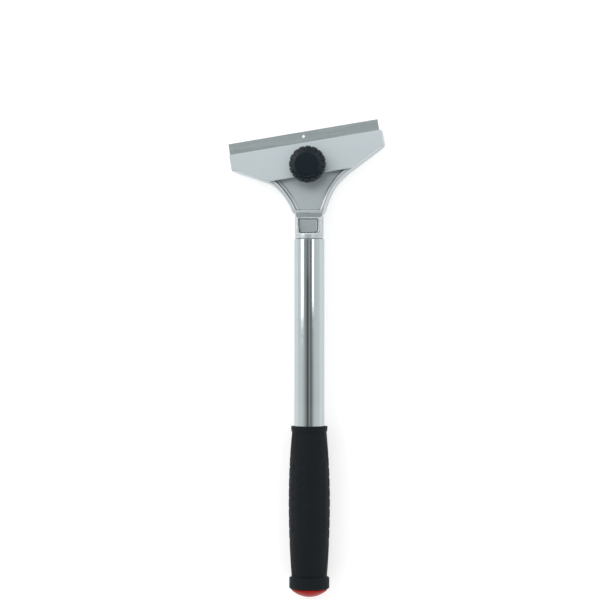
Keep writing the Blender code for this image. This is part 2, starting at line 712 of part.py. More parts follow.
def make_grip():
    """A rubber sleeve on the tube: a flared collar, a long belly and a flange at the cap."""
    bore = GRIP_BORE_RADIUS
    flange = bore + GRIP_FLANGE_WALL
    flange_top = GRIP_LENGTH - GRIP_FLANGE_LENGTH
    collar = bore + GRIP_COLLAR_WALL
    reach = (flange_top - GRIP_COLLAR_LENGTH) / (2 * GRIP_BELLY_STEPS)
    rows = [GRIP_COLLAR_LENGTH + step * reach for step in range(2 * GRIP_BELLY_STEPS + 1)]
    profile = [
        (bore, GRIP_LENGTH),
        (flange - GRIP_FLANGE_CHAMFER, GRIP_LENGTH),
        (flange, GRIP_LENGTH - GRIP_FLANGE_CHAMFER),
        (flange, flange_top + GRIP_FLANGE_SLOPE),
        *[(belly(row), row) for row in reversed(rows)],
        (bore + GRIP_COLLAR_FOOT_WALL, GRIP_COLLAR_LENGTH - GRIP_COLLAR_ROUNDING),
        (collar, GRIP_COLLAR_ROUNDING),
        (collar - GRIP_COLLAR_ROUNDING, 0),
        (bore, 0),
    ]
    turned(
        "grip", profile, ROUND_SIDES, HANDLE_AXIS, closed=True, location=(0, 0, GRIP_TOP), material=RUBBER
    )


def make_end_cap():
    """A domed plug: the dome closes the grip's end, and its hollow stem sits in the tube."""
    rim = GRIP_BORE_RADIUS + GRIP_FLANGE_WALL - CAP_INSIDE_FLANGE
    ball = (rim**2 + CAP_DOME_HEIGHT**2) / (2 * CAP_DOME_HEIGHT)
    spread = asin(rim / ball)
    centre = CAP_RIM_HEIGHT + CAP_DOME_HEIGHT - ball
    angles = [spread * step / CAP_DOME_STEPS for step in range(CAP_DOME_STEPS + 1)]
    stem = TUBE_BORE_RADIUS - FIT_GAP
    inner = stem - CAP_STEM_WALL
    profile = [
        *[(ball * sin(angle), centre + ball * cos(angle)) for angle in angles],
        (rim, 0),
        (stem, 0),
        (stem, CAP_STEM_CHAMFER - CAP_STEM_LENGTH),
        (stem - CAP_STEM_CHAMFER, -CAP_STEM_LENGTH),
        (inner, -CAP_STEM_LENGTH),
        (inner, 0),
        (0, 0),
    ]
    at = (0, 0, GRIP_END + FIT_GAP)
    turned("end_cap", profile, ROUND_SIDES, HANDLE_AXIS, location=at, material=RED_PLASTIC)


def centre_on_ground(tool):
    """Moves the tool so that the middle of its box is over the world's origin and its lowest point is at 0."""
    bpy.context.view_layer.update()
    graph = bpy.context.evaluated_depsgraph_get()
    corners = []
    for thing in PARTS.objects:
        if thing.type == "MESH":
            evaluated = thing.evaluated_get(graph)
            corners += [evaluated.matrix_world @ vertex.co for vertex in evaluated.data.vertices]
    low = Vector([min(corner[axis] for corner in corners) for axis in range(3)])
    high = Vector([max(corner[axis] for corner in corners) for axis in range(3)])
    tool.location = (-(low.x + high.x) / 2, -(low.y + high.y) / 2, -low.z)


def shade(thing):
    """Smooth shading with sharp edges, for a piece whose own mesh holds its faces."""
    if thing.data.polygons:
        thing.data.shade_smooth()
        thing.data.set_sharp_from_angle(angle=radians(SMOOTH_BELOW_DEGREES))


clear_scene()
PARTS = collection("flat_scraper")
CUTTERS = collection("cutters", in_render=False)
SILVER_CASTING = principled("silver_painted_casting", (0.50, 0.53, 0.55), 0.38, 0.75)
SATIN_METAL = principled("satin_clamp_plate", (0.58, 0.62, 0.64), 0.42, 0.70)
STEEL = principled("brushed_blade_steel", (0.32, 0.34, 0.34), 0.34, 1.0)
CHROME = principled("chrome_plated_tube", (0.78, 0.79, 0.80), 0.08, 1.0)
ZINC = principled("zinc_plated_fastener", (0.60, 0.61, 0.60), 0.32, 1.0)
BLACK_PLASTIC = principled("black_knob_plastic", (0.012, 0.014, 0.018), 0.40, 0.0)
RUBBER = principled("black_grip_rubber", (0.012, 0.016, 0.018), 0.62, 0.0)
RED_PLASTIC = principled("red_cap_plastic", (0.45, 0.030, 0.022), 0.25, 0.0)
TOOL = empty("tool")
HEAD_PLANE = empty(
    "head_plane",
    TOOL,
    location=(CLAMP_SIDE_SHIFT, CLAMP_FROM_TRAY_END, CLAMP_HEIGHT),
    rotation=(-HEAD_BEND, 0, HEAD_SKEW),
)
HANDLE_AXIS = empty("handle_axis", TOOL, rotation=(pi / 2, 0, 0))
PIN_HOLE = make_pin_hole()
make_casting()
make_blade()
make_clamp_plate()
make_washer()
make_bolt()
make_nut()
make_knob()
make_tube()
make_pin()
make_grip()
make_end_cap()
for piece in PARTS.objects:
    if piece.type == "MESH":
        shade(piece)
centre_on_ground(TOOL)
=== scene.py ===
"""Flat scraper, dressed: blade, clamp plate, knob, die-cast head, chrome tube, rubber grip and red end cap.

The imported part's frame is in metres, +Y from the end cap towards the blade and +Z up. The new pieces are
grids of points worked out with numpy in millimetres, in one of two local frames: HEAD stands on the blade's
seat at the clamp bolt, with x along the blade, y towards its outer edge and z up from the seat, and HANDLE
has its origin on the tube's axis at the tube's upper end, with z down the handle and y up. Only the head
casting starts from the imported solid's own skin.
"""

import json
import math

import bmesh
import bpy
import numpy as np
from mathutils import Matrix, Vector


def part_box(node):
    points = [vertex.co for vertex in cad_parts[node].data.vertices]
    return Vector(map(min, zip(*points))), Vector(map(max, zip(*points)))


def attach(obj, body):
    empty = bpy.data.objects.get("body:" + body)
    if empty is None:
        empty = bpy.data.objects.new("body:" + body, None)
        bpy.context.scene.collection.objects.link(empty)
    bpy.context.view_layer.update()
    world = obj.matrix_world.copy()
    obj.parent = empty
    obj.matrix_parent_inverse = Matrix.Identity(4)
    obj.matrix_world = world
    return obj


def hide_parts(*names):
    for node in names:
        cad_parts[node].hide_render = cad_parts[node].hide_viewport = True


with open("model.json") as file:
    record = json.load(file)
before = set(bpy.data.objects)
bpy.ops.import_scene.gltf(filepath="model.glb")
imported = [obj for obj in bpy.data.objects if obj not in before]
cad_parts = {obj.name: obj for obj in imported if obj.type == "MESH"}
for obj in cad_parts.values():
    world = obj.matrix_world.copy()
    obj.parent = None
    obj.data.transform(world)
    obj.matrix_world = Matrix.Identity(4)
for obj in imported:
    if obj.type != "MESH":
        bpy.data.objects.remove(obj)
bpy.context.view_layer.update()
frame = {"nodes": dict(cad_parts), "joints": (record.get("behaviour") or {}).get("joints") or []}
MM = 0.001
WELD_DISTANCE = 0.000002
DRILL_SIDES = 48
CORNER_STEPS = 6
# What a range gets on top, so that its last value is in it
RANGE_END = 0.001

# Photograph
IMAGE_SIDE = 600
PIXELS_PER_MM = 1.521
AXIS_PIXEL_X = 309.3
TUBE_TOP_PIXEL_Y = 239.0
CAMERA_DISTANCE = 1.9
CAMERA_ROLL_DEGREES = 5.0
SENSOR_WIDTH = 36.0

# Blade, in mm in the head's frame
BLADE_LENGTH = 100.0
BLADE_WIDTH = 18.0
BLADE_THICKNESS = 1.0
BLADE_SHIFT = -0.6
BLADE_EDGE = 23.35
BLADE_LIFT = 0.3
BLADE_HOLE_RADIUS = 1.0
BLADE_HOLE_INSET = 3.2
BLADE_GRIND_WIDTH = 2.5
BLADE_KEEN_THICKNESS = 0.12
# Rounding of the section's corners: both of the back, the grind, both of the keen edge, the grind
BLADE_SECTION_RADII = [0.4, 0.4, 0.3, 0.04, 0.04, 0.3]
BLADE_END_CHAMFER = 0.3
# What the chamfer leaves of the width and of the thickness
BLADE_END_SHARES = (0.985, 0.5)
# Start and end of the hole's drill over the seat
BLADE_HOLE_FROM = -1.0
BLADE_HOLE_TO = 3.0

# Clamp plate
PLATE_CORNERS = [(51.2, 15.65), (-50.9, 15.65), (-50.9, 6.1), (-28.6, -6.0), (28.6, -6.0), (50.9, 6.1)]
PLATE_LOW = 1.6
PLATE_HIGH = 4.1
PLATE_CORNER_RADIUS = 0.7
PLATE_EDGE_ROUNDING = 0.4
PLATE_EDGE_STEPS = 6
PLATE_HOLE_CHAMFER = 0.2
PLATE_POINT_SPACING = 0.6

# Bolt, nut and washer
FASTENER_SIDES = 72
HEX_ACROSS_FLATS = 10.0
THREAD_PITCH = 1.0
THREAD_ROWS_A_PITCH = 14
THREAD_RADIUS = 2.95
THREAD_DEPTH = 0.55
# The thread's wave: how steep its flanks are, and what is cut off its crest
THREAD_STEEPNESS = 1.35
THREAD_CREST_CUT = 0.12
BOLT_HOLE_RADIUS = 3.3
BOLT_HEAD_HEIGHT = 4.0
# From the head's top middle to the shank: height over the head's foot, and the largest radius there
BOLT_HEAD_ROWS = [
    (BOLT_HEAD_HEIGHT, 0), (BOLT_HEAD_HEIGHT, 4.75), (3.6, 5.1), (3.2, 5.45),
    (2.6, 6.0), (0.0, 6.0), (0.0, 3.0),
]
BOLT_LENGTH = 14.8
BOLT_THREAD_FROM = -0.02
BOLT_TIP_NARROWING = 0.9
BOLT_TIP_SLOPE = 1.2
NUT_LOW = -8.8
NUT_HEIGHT = 5.0
# Depth under a face of the nut, and the largest radius there
NUT_CORNER_ROWS = [(0.0, 4.75), (0.35, 5.3), (0.7, 6.0)]
NUT_THREAD_CLEARANCE = 0.25
NUT_THREAD_DEPTH = 0.2
NUT_MOUTH_WIDENING = 0.5
NUT_MOUTH_SLOPE = 1.2
WASHER_LOW = 4.4
WASHER_HEIGHT = 1.6
WASHER_RADIUS = 5.5
WASHER_ROUNDING = 0.25

# Head casting's net: its spacing in mm, how it is softened and the share of its triangles that stays
NET_SPACING = 0.36
NET_SOFTENING = 0.5
NET_SOFTENING_ROUNDS = 6
NET_KEPT_SHARE = 0.42
RELIEF_DEPTH = 0.03
RELIEF_ROUNDS = 3

# Tray's deeper part in the head's frame, which leaves a narrow step along the left flank
TRAY_CORNERS = [
    (-23.2, -4.4), (-21.3, -6.2), (-17.2, -12.3), (-13.9, -19.3), (-11.2, -27.5),
    (2.7, -29.8), (6.3, -23.0), (10.8, -16.05), (16.1, -10.4), (22.9, -5.6), (24.9, -4.4),
]
TRAY_CORNER_RADIUS = 0.3
TRAY_MIDDLE = (0.0, -7.0)
TRAY_FLOOR = -2.3
ABOVE_TRAY = 3.0

# Neck's window, across the handle and up from the tube's end, with its heights over the handle's axis
WINDOW_CORNERS = [(-7.15, 13.5), (-6.5, 3.75), (5.95, 3.75), (6.4, 13.5)]
WINDOW_CORNER_RADII = [0.9, 1.9, 1.9, 0.9]
WINDOW_BEND_RADII = [0.1, 1.0, 1.0, 0.1]
WINDOW_MIDDLE = (0.0, 8.6)
WINDOW_FLOOR = 2.9
WINDOW_FLOOR_EDGE = 0.35
WINDOW_FLOOR_SLOPE = 0.19
WINDOW_FLOOR_BEND = 0.9
ABOVE_NECK = 12.0

# Knob, with its heights from its own foot
KNOB_LOW = 6.3
KNOB_LOBES = 16
KNOB_POINTS_A_LOBE = 28
KNOB_NOTCH_DEPTH = 0.85
KNOB_NOTCH_SHARPNESS = 7.0
KNOB_HEIGHT = 9.5
# Height, radius and share of the notch's depth: the hub, the flare to the rim, the rim and the top
KNOB_HUB = [(0.0, 7.2, 0), (0.25, 7.5, 0), (1.5, 7.5, 0), (1.62, 7.7, 0)]
KNOB_FLARE = [(2.0, 11.1, 0.55), (2.25, 11.45, 0.75)]
KNOB_RIM = [(3.0, 11.85, 0.95), (4.2, 12.2, 1.0), (5.2, 12.25, 1.0)]
KNOB_TOP = [
    (9.15, 8.72, 0), (9.38, 8.5, 0), (KNOB_HEIGHT, 8.15, 0), (KNOB_HEIGHT, 7.0, 0), (KNOB_HEIGHT, 0, 0),
]
KNOB_SHOULDER_STEPS = 14
KNOB_SHOULDER_HEIGHT = 3.85
KNOB_SHOULDER_REACH = 3.5
KNOB_SHOULDER_POWER = 0.9
KNOB_SHOULDER_NOTCH_SHARE = 0.7
KNOB_SOCKET_DEPTH = 4.3
KNOB_SOCKET_PLAY = 0.6
KNOB_SOCKET_CHAMFER = 0.25

# Handle, in mm from the tube's upper end
TUBE_RADIUS = 10.0
TUBE_WALL = 1.0
TUBE_LENGTH = 229.5
TUBE_SIDES = 192
TUBE_ROUNDING = 0.3
PIN_AT = 9.7
PIN_RADIUS = 1.5
PIN_LENGTH = 6.5
PIN_LOW = -9.7
PIN_SLIT_DEGREES = 50.0
PIN_ARC_POINTS = 40
PIN_MIDDLE_RADIUS = 1.15
PIN_HALF_WALL = 0.34
# Height from an end of the pin, and the share of the wall there
PIN_END_ROWS = [(0.12, 0), (0.0, 0.6), (0.35, 1)]
PIN_HOLE_PLAY = 0.3
# Start and end of the hole's drill, from the axis backwards
PIN_HOLE_FROM = 5.0
PIN_HOLE_TO = 13.0
GRIP_TOP = 122.9
GRIP_LENGTH = 106.9
GRIP_BORE = 10.3
GRIP_SIDES = 240
GRIP_ROW_SPACING = 0.31
COLLAR_RADIUS = 12.1
COLLAR_FOOT_RADIUS = 11.75
COLLAR_LENGTH = 4.0
COLLAR_FOOT = 3.85
COLLAR_FOOT_SLOPE = 0.3
COLLAR_RADII = [0.3, 0.6, 0.35, 0, 0]
NECKING_RADIUS = 11.35
BELLY_RADIUS = 13.58
BELLY_AT = 50.0
WAIST_RADIUS = 11.65
FLANGE_RADIUS = 13.2
FLANGE_TOP = 98.6
FLANGE_SLOPE = 0.9
FLANGE_RADII = [0, 0, 0.5, 1.1, 0.3]
PAD_COLUMNS = 12
PAD_PITCH = 6.8
PAD_FIRST = 26.8
PAD_LAST = 71.2
PAD_HEIGHT = 0.2
PAD_HALF_WIDTH = 3.25
PAD_HALF_HEIGHT = 3.15
PAD_POWER = 1.6
PAD_FLANK_SHARE = 0.3
# The belly sinks by the pads' height in this stretch before their first row, and rises past their last one
SINKING_FROM = 9.0
SINKING_TO = 4.0
RISING_FROM = 2.0
RISING_TO = 7.0
GROOVE_DEPTH = 0.35
GROOVE_HALF_WIDTH = 0.55
GROOVE_BED_SHARE = 0.2
# The groove's angle from a face's middle at the grip's end, and how it spreads away from the end
GROOVE_DEGREES = 52.0
GROOVE_SPREAD_DEGREES = 26.0
GROOVE_REACH = 22.0
GROOVE_POWER = 0.8
GROOVE_FADES_FROM = 15.0
GROOVE_FADES_TO = 21.0
CAP_SIDES = 144
CAP_DOME_ROWS = 27
CAP_GAP = 0.3
CAP_RADIUS = 11.8
CAP_RIM = 0.6
CAP_DOME = 4.6
CAP_STEM_RADIUS = 8.7
CAP_STEM_BORE = 7.1
CAP_STEM_LENGTH = 14.0
# Rounding of the corners from the dome's foot, over the rim, down the stem and up its bore to the axis
CAP_RADII = [0.25, 0.15, 0, 0.4, 0.2, 0.2, 0]

# Surroundings: the floor's half side in metres, its paint and its glow, and the room's levels by angle
FLOOR_REACH = 3.0
FLOOR_LEVEL = 0.65
FLOOR_GLOW = 0.52
ROOM_LEVELS = [
    (-90, 1.02), (-60, 0.98), (-40, 0.78), (-27, 0.52), (-17, 0.32), (-9, 0.09), (-1, 0.24), (6.5, 0.46),
    (14, 0.23), (21, 0.26), (29, 0.49), (37, 0.68), (46, 0.88), (70, 0.95), (90, 1.02),
]
# Each lamp's name, place and target in metres, width, length and level
LAMPS = [
    ("left_soft_box", (-0.70, 0.47, 0.60), (0, 0.47, 0), 0.36, 0.90, 1.9),
    ("right_soft_box", (0.49, 0.48, 0.78), (0, 0.48, 0), 0.26, 0.90, 1.7),
    ("head_soft_box", (-0.34, 1.02, 1.15), (0, 0, 0), 2.0, 1.2, 1.02),
    ("upper_soft_box", (-0.06, 0.515, 1.15), (0, 0.515, 0), 0.60, 0.90, 0.145),
    ("foot_soft_box", (0.1, -1.20, 1.00), (0, 0, 0), 1.6, 1.0, 1.10),
]


def joint(name):
    """The joint of that name in the frame."""
    return next(found for found in frame["joints"] if found["name"] == name)


def head_frame():
    """Columns: the blade's length, the way out of the head, the seat's normal and the clamp point."""
    normal = Vector(joint("knob_spin")["axis"]).normalized()
    outward = Vector(joint("blade_slide")["axis"]).normalized()
    along = outward.cross(normal)
    turn = Matrix((along, outward, normal)).transposed().to_4x4()
    return Matrix.Translation(joint("knob_spin")["pos_m"]) @ turn


def handle_frame():
    """Origin on the axis at the tube's upper end, z down the handle and y up."""
    low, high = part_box("handle_tube")
    middle = (low + high) / 2
    return Matrix.Translation((middle.x, high.y, middle.z)) @ Matrix.Rotation(math.pi / 2, 4, "X")


HEAD = head_frame()
HANDLE = handle_frame()


# Mesh helpers


def weld(mesh):
    """Merges doubled points, drops what then has no area and turns the faces outwards."""
    work = bmesh.new()
    work.from_mesh(mesh)
    bmesh.ops.remove_doubles(work, verts=work.verts, dist=WELD_DISTANCE)
    bmesh.ops.dissolve_degenerate(work, edges=work.edges, dist=WELD_DISTANCE)
    bmesh.ops.recalc_face_normals(work, faces=work.faces)
    work.to_mesh(mesh)
    work.free()
    return mesh


def grid_mesh(name, points, place, rows_meet=False):
    """Quads through a grid of points in mm: each row closes round, and the last row may meet the first."""
    rows, columns = points.shape[:2]
    row = np.arange(rows if rows_meet else rows - 1)[:, None]
    column = np.arange(columns)[None, :]
    below, beside = (row + 1) % rows, (column + 1) % columns
    start, end = row * columns, below * columns
    corners = np.broadcast_arrays(start + column, start + beside, end + beside, end + column)
    faces = np.stack(corners, -1).reshape(-1, 4)
    placed = points.reshape(-1, 3) * MM @ np.array(place.to_3x3()).T + np.array(place.translation)
    mesh = bpy.data.meshes.new(name)
    mesh.from_pydata(placed.tolist(), [], faces.tolist())
    return weld(mesh)


def applied(thing):
    """The mesh that an object's modifiers give. The object goes."""
    graph = bpy.context.evaluated_depsgraph_get()
    mesh = bpy.data.meshes.new_from_object(thing.evaluated_get(graph))
    bpy.data.objects.remove(thing)
    return mesh


def cut_away(mesh, tool_mesh):
    """The mesh less the closed mesh of a tool."""
    thing = bpy.data.objects.new("cut", mesh)
    tool = bpy.data.objects.new("tool", tool_mesh)
    bpy.context.scene.collection.objects.link(thing)
    bpy.context.scene.collection.objects.link(tool)
    cut = thing.modifiers.new("cut", "BOOLEAN")
    cut.object = tool
    cut.solver = "EXACT"
    made = applied(thing)
    bpy.data.objects.remove(tool)
    return made


def drilled(mesh, radius, start, end, place):
    """The mesh less a round bar along z of the place, from start to end in mm."""
    bar = turned([(0, start), (radius, start), (radius, end), (0, end)], DRILL_SIDES)
    return cut_away(mesh, grid_mesh("drill", bar, place))


def show(name, mesh, body, finish, node, sharp_degrees=38):
    """Makes a finished piece of a mesh: it rides on its body and stands for its node."""
    thing = bpy.data.objects.new(name, mesh)
    bpy.context.scene.collection.objects.link(thing)
    mesh.materials.clear()
    mesh.materials.append(finish)
    mesh.shade_smooth()
    mesh.set_sharp_from_angle(angle=math.radians(sharp_degrees))
    level = thing.modifiers.new("level", "WEIGHTED_NORMAL")
    level.keep_sharp = True
    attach(thing, body)
    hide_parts(node)
    return thing


# Shapes as arrays


def unit(ways):
    """Each way divided by its own length."""
    return ways / np.linalg.norm(ways, axis=-1, keepdims=True)


def circle(sides):
    """The angles of a circle's even points."""
    return np.arange(sides) * 2 * math.pi / sides


def turned(profile, sides):
    """A profile of radius and height turned about z: x = radius cos a, y = radius sin a."""
    radius, height = np.array(profile, float).T[:, :, None]
    angle = circle(sides)[None, :]
    return np.stack(np.broadcast_arrays(radius * np.cos(angle), radius * np.sin(angle), height), -1)


def rounded(corners, radii):
    """A closed outline with its corners made arcs: each arc's centre lies on its corner's bisector."""
    corners = np.array(corners, float)
    radii = np.broadcast_to(np.array(radii, float), len(corners))[:, None]
    before = unit(np.roll(corners, 1, 0) - corners)
    after = unit(np.roll(corners, -1, 0) - corners)
    half = np.arccos(np.clip(np.sum(before * after, 1, keepdims=True), -1, 1)) / 2
    middle = corners + unit(before + after) * radii / np.sin(half)
    arm = corners + before * radii / np.tan(half) - middle
    crossed = before[:, :1] * after[:, 1:] - before[:, 1:] * after[:, :1]
    angle = (math.pi - 2 * half) * np.where(crossed < 0, 1, -1) * np.linspace(0, 1, CORNER_STEPS)
    x = middle[:, :1] + arm[:, :1] * np.cos(angle) - arm[:, 1:] * np.sin(angle)
    y = middle[:, 1:] + arm[:, :1] * np.sin(angle) + arm[:, 1:] * np.cos(angle)
    return np.stack([x, y], -1).reshape(-1, 2)


def inset(corners, distance):
    """A closed anticlockwise outline moved inwards along its corners' bisectors."""
    corners = np.array(corners, float)
    arriving = unit(corners - np.roll(corners, 1, 0))
    leaving = unit(np.roll(corners, -1, 0) - corners)
    inward = unit(np.stack([-arriving[:, 1] - leaving[:, 1], arriving[:, 0] + leaving[:, 0]], -1))
    side = np.stack([-leaving[:, 1], leaving[:, 0]], -1)
    return corners + inward * distance / np.sum(inward * side, 1, keepdims=True)


def outline_with_ways(corners, radius, spacing):
    """Points along a rounded outline at most a spacing apart, and at each the way out of the outline."""
    points = rounded(corners, radius)
    ways = (points - rounded(inset(corners, radius / 2), radius / 2)) / (radius / 2)
    points, ways = np.vstack([points, points[:1]]), np.vstack([ways, ways[:1]])
    length = np.concatenate([[0], np.cumsum(np.linalg.norm(np.diff(points, axis=0), axis=1))])
    stations = np.union1d(length, np.arange(0, length[-1], spacing))[:-1]
    along = [np.interp(stations, length, column) for column in np.hstack([points, ways]).T]
    return np.stack(along[:2], -1), np.stack(along[2:], -1)


def hexagon_radius(angle, across_flats):
    """A hexagon's radius at an angle: its half width over the cosine of the angle from a flat's middle."""
    from_flat = np.mod(angle, math.pi / 3) - math.pi / 6
    return across_flats / 2 / np.cos(from_flat)


def thread_radius(angle, height, crest, depth):
    """A screw thread: its radius falls from the crest as a blunted triangle wave of height less the turn."""
    share = np.mod(height / THREAD_PITCH - angle / (2 * math.pi), 1)
    wave = np.clip(np.abs(2 * share - 1) * THREAD_STEEPNESS - THREAD_CREST_CUT, 0, 1)
    return crest - depth * wave


def ring_points(radius, height):
    """Points of a grid of radii and heights, each row one turn."""
    angle = circle(radius.shape[1])[None, :]
    return np.stack(np.broadcast_arrays(radius * np.cos(angle), radius * np.sin(angle), height), -1)


# Materials


def linear(hex_colour):
    """An sRGB hex colour as linear red, green, blue and alpha, each part by the sRGB curve."""
    parts = [int(hex_colour[i : i + 2], 16) / 255 for i in (1, 3, 5)]
    return (*[part / 12.92 if part <= 0.04045 else ((part + 0.055) / 1.055) ** 2.4 for part in parts], 1.0)


def add(tree, kind, inputs=(), stops=(), **settings):
    """Adds a node with its settings. Each input gets a value, or the socket that feeds it."""
    node = tree.nodes.new("ShaderNode" + kind)
    for name, value in settings.items():
        setattr(node, name, value)
    for key, value in dict(inputs).items():
        if isinstance(value, bpy.types.NodeSocket):
            tree.links.new(value, node.inputs[key])
        else:
            node.inputs[key].default_value = value
    for i, (position, colour) in enumerate(stops):
        elements = node.color_ramp.elements
        stop = elements[i] if i < 2 else elements.new(position)
        stop.position = position
        stop.color = colour
    return node


def grey(level):
    """A linear grey of that level."""
    return (level, level, level, 1.0)


def start_finish(name, place, surface):
    """A new material: its node tree, its shader, and its piece's own frame as coordinates in metres."""
    finish = bpy.data.materials.new(name)
    finish.use_nodes = True
    tree = finish.node_tree
    shader = tree.nodes["Principled BSDF"]
    for key, value in surface.items():
        shader.inputs[key].default_value = value
    turn = {"Location": place.translation, "Rotation": place.to_euler()}
    centre = add(tree, "TexCoord").outputs["Object"]
    where = add(tree, "Mapping", {"Vector": centre, **turn}, vector_type="TEXTURE").outputs["Vector"]
    return finish, tree, shader, where


def cast_silver_lacquer():
    """Die-cast aluminium under silver lacquer: a soft grey sheen with orange peel and fine flake.

    Its relief attribute paints shade into the hollow corners and paints a highlight along the sharp edges.
    """
    surface = {"Roughness": 0.34, "Metallic": 0.6}
    finish, tree, shader, where = start_finish("silver_lacquer_on_die_casting", HEAD, surface)
    # Flake of about 0.25 mm, which the lacquer shows as faint sparkle
    flake = add(tree, "TexVoronoi", {"Vector": where, "Scale": 4000.0}).outputs["Color"]
    sparkle = add(tree, "SeparateColor", {"Color": flake}).outputs["Red"]
    # Flow of the lacquer, in patches of about 9 mm
    flow = add(tree, "TexNoise", {"Vector": where, "Scale": 110.0, "Detail": 3.0}).outputs["Fac"]
    tone = add(tree, "MixRGB", {"Fac": sparkle, "Color1": linear("#AEB7BB"), "Color2": linear("#BEC7CA")})
    patch = add(tree, "MixRGB", {"Fac": flow, "Color1": tone.outputs[0], "Color2": linear("#B8C1C5")})
    relief = add(tree, "Attribute", attribute_name="relief").outputs["Fac"]
    corner = add(tree, "MapRange", {"Value": relief, "From Min": 0.15, "From Max": 1.0}).outputs["Result"]
    edge = add(tree, "MapRange", {"Value": relief, "From Min": -0.15, "From Max": -1.0}).outputs["Result"]
    # Painted shade: the hollow corners darkened by the relief attribute
    painted_corner_shade = add(tree, "MixRGB", {"Fac": corner, "Color1": patch.outputs[0], "Color2": linear("#6E7479")})
    # Painted highlight: the sharp edges lightened by the relief attribute
    painted_edge_highlight = add(tree, "MixRGB", {"Fac": edge, "Color1": painted_corner_shade.outputs[0], "Color2": linear("#DADEE1")})
    tree.links.new(painted_edge_highlight.outputs[0], shader.inputs["Base Color"])
    rough = add(tree, "MapRange", {"Value": flow, "To Min": 0.28, "To Max": 0.40}).outputs["Result"]
    tree.links.new(rough, shader.inputs["Roughness"])
    # Orange peel, ripples of about 1.3 mm
    peel = add(tree, "TexNoise", {"Vector": where, "Scale": 780.0, "Detail": 2.0}).outputs["Fac"]
    bump = add(tree, "Bump", {"Height": peel, "Strength": 0.18, "Distance": 0.00012}).outputs["Normal"]
    tree.links.new(bump, shader.inputs["Normal"])
    return finish


def satin_plated_steel():
    """Steel sheet with a satin nickel plating: pale and even, with a hair-fine grain along its length."""
    surface = {"Roughness": 0.44, "Metallic": 0.85}
    finish, tree, shader, where = start_finish("satin_nickel_on_steel_sheet", HEAD, surface)
    # Grain lines of 0.15 mm by 12 mm
    lines = add(tree, "Mapping", {"Vector": where, "Scale": (80.0, 6500.0, 80.0)}).outputs["Vector"]
    grain = add(tree, "TexNoise", {"Vector": lines, "Scale": 1.0, "Detail": 2.0}).outputs["Fac"]
    # Clouding of the plating, in patches of about 22 mm
    cloud = add(tree, "TexNoise", {"Vector": where, "Scale": 45.0, "Detail": 3.0}).outputs["Fac"]
    tone = add(tree, "MixRGB", {"Fac": grain, "Color1": linear("#BFC8CB"), "Color2": linear("#CAD2D5")})
    patch = add(tree, "MixRGB", {"Fac": cloud, "Color1": tone.outputs[0], "Color2": linear("#C2CCD0")})
    tree.links.new(patch.outputs[0], shader.inputs["Base Color"])
    rough = add(tree, "MapRange", {"Value": grain, "To Min": 0.38, "To Max": 0.50}).outputs["Result"]
    tree.links.new(rough, shader.inputs["Roughness"])
    bump = add(tree, "Bump", {"Height": grain, "Strength": 0.12, "Distance": 0.00005}).outputs["Normal"]
    tree.links.new(bump, shader.inputs["Normal"])
    return finish


def ground_blade_steel():
    """Hardened carbon steel strip, ground across its width: darker grey, with clear grinding lines."""
    surface = {"Roughness": 0.38, "Metallic": 1.0}
    finish, tree, shader, where = start_finish("ground_carbon_steel", HEAD, surface)
    # Grinding lines of 0.25 mm, drawn coarser than real ones so that they show, across the strip
    across = add(tree, "Mapping", {"Vector": where, "Scale": (4000.0, 130.0, 130.0)}).outputs["Vector"]
    lines = add(tree, "TexNoise", {"Vector": across, "Scale": 1.0, "Detail": 3.0}).outputs["Fac"]
    # Streaks left by the rolls, about 0.9 mm by 25 mm
    along = add(tree, "Mapping", {"Vector": where, "Scale": (40.0, 1100.0, 1100.0)}).outputs["Vector"]
    rolled = add(tree, "TexNoise", {"Vector": along, "Scale": 1.0, "Detail": 2.0}).outputs["Fac"]
    bands = add(tree, "MapRange", {"Value": rolled, "From Min": 0.35, "From Max": 0.65}).outputs["Result"]
    tone = add(tree, "MixRGB", {"Fac": lines, "Color1": linear("#848E90"), "Color2": linear("#B2BABB")})
    streak = add(tree, "MixRGB", {"Fac": bands, "Color1": linear("#90999B"), "Color2": linear("#A8B1B3")})
    shade = add(tree, "MixRGB", {"Fac": 0.5, "Color1": tone.outputs[0], "Color2": streak.outputs[0]})
    tree.links.new(shade.outputs[0], shader.inputs["Base Color"])
    rough = add(tree, "MapRange", {"Value": lines, "To Min": 0.30, "To Max": 0.46}).outputs["Result"]
    tree.links.new(rough, shader.inputs["Roughness"])
    bump = add(tree, "Bump", {"Height": lines, "Strength": 0.25, "Distance": 0.00006}).outputs["Normal"]
    tree.links.new(bump, shader.inputs["Normal"])
    return finish


def chrome_plating():
    """Polished tube with bright chrome: sharp reflections, slightly wavy draw lines and faint wipe marks."""
    surface = {"Roughness": 0.07, "Metallic": 1.0}
    finish, tree, shader, where = start_finish("bright_chrome_on_tube", HANDLE, surface)
    # Draw lines along the tube, about 0.6 mm wide
    lines = add(tree, "Mapping", {"Vector": where, "Scale": (1700.0, 1700.0, 12.0)}).outputs["Vector"]
    drawn = add(tree, "TexNoise", {"Vector": lines, "Scale": 1.0, "Detail": 2.0}).outputs["Fac"]
    # Wipe marks in patches of about 20 mm
    patches = {"Scale": 50.0, "Detail": 4.0, "Roughness": 0.6}
    wiped = add(tree, "TexNoise", {"Vector": where, **patches}).outputs["Fac"]
    tone = add(tree, "MixRGB", {"Fac": wiped, "Color1": linear("#B3BDBF"), "Color2": linear("#BCC5C7")})
    tree.links.new(tone.outputs[0], shader.inputs["Base Color"])
    limits = {"From Min": 0.3, "From Max": 0.7, "To Min": 0.05, "To Max": 0.11}
    rough = add(tree, "MapRange", {"Value": wiped, **limits}).outputs["Result"]
    tree.links.new(rough, shader.inputs["Roughness"])
    bump = add(tree, "Bump", {"Height": drawn, "Strength": 0.03, "Distance": 0.00004}).outputs["Normal"]
    tree.links.new(bump, shader.inputs["Normal"])
    return finish


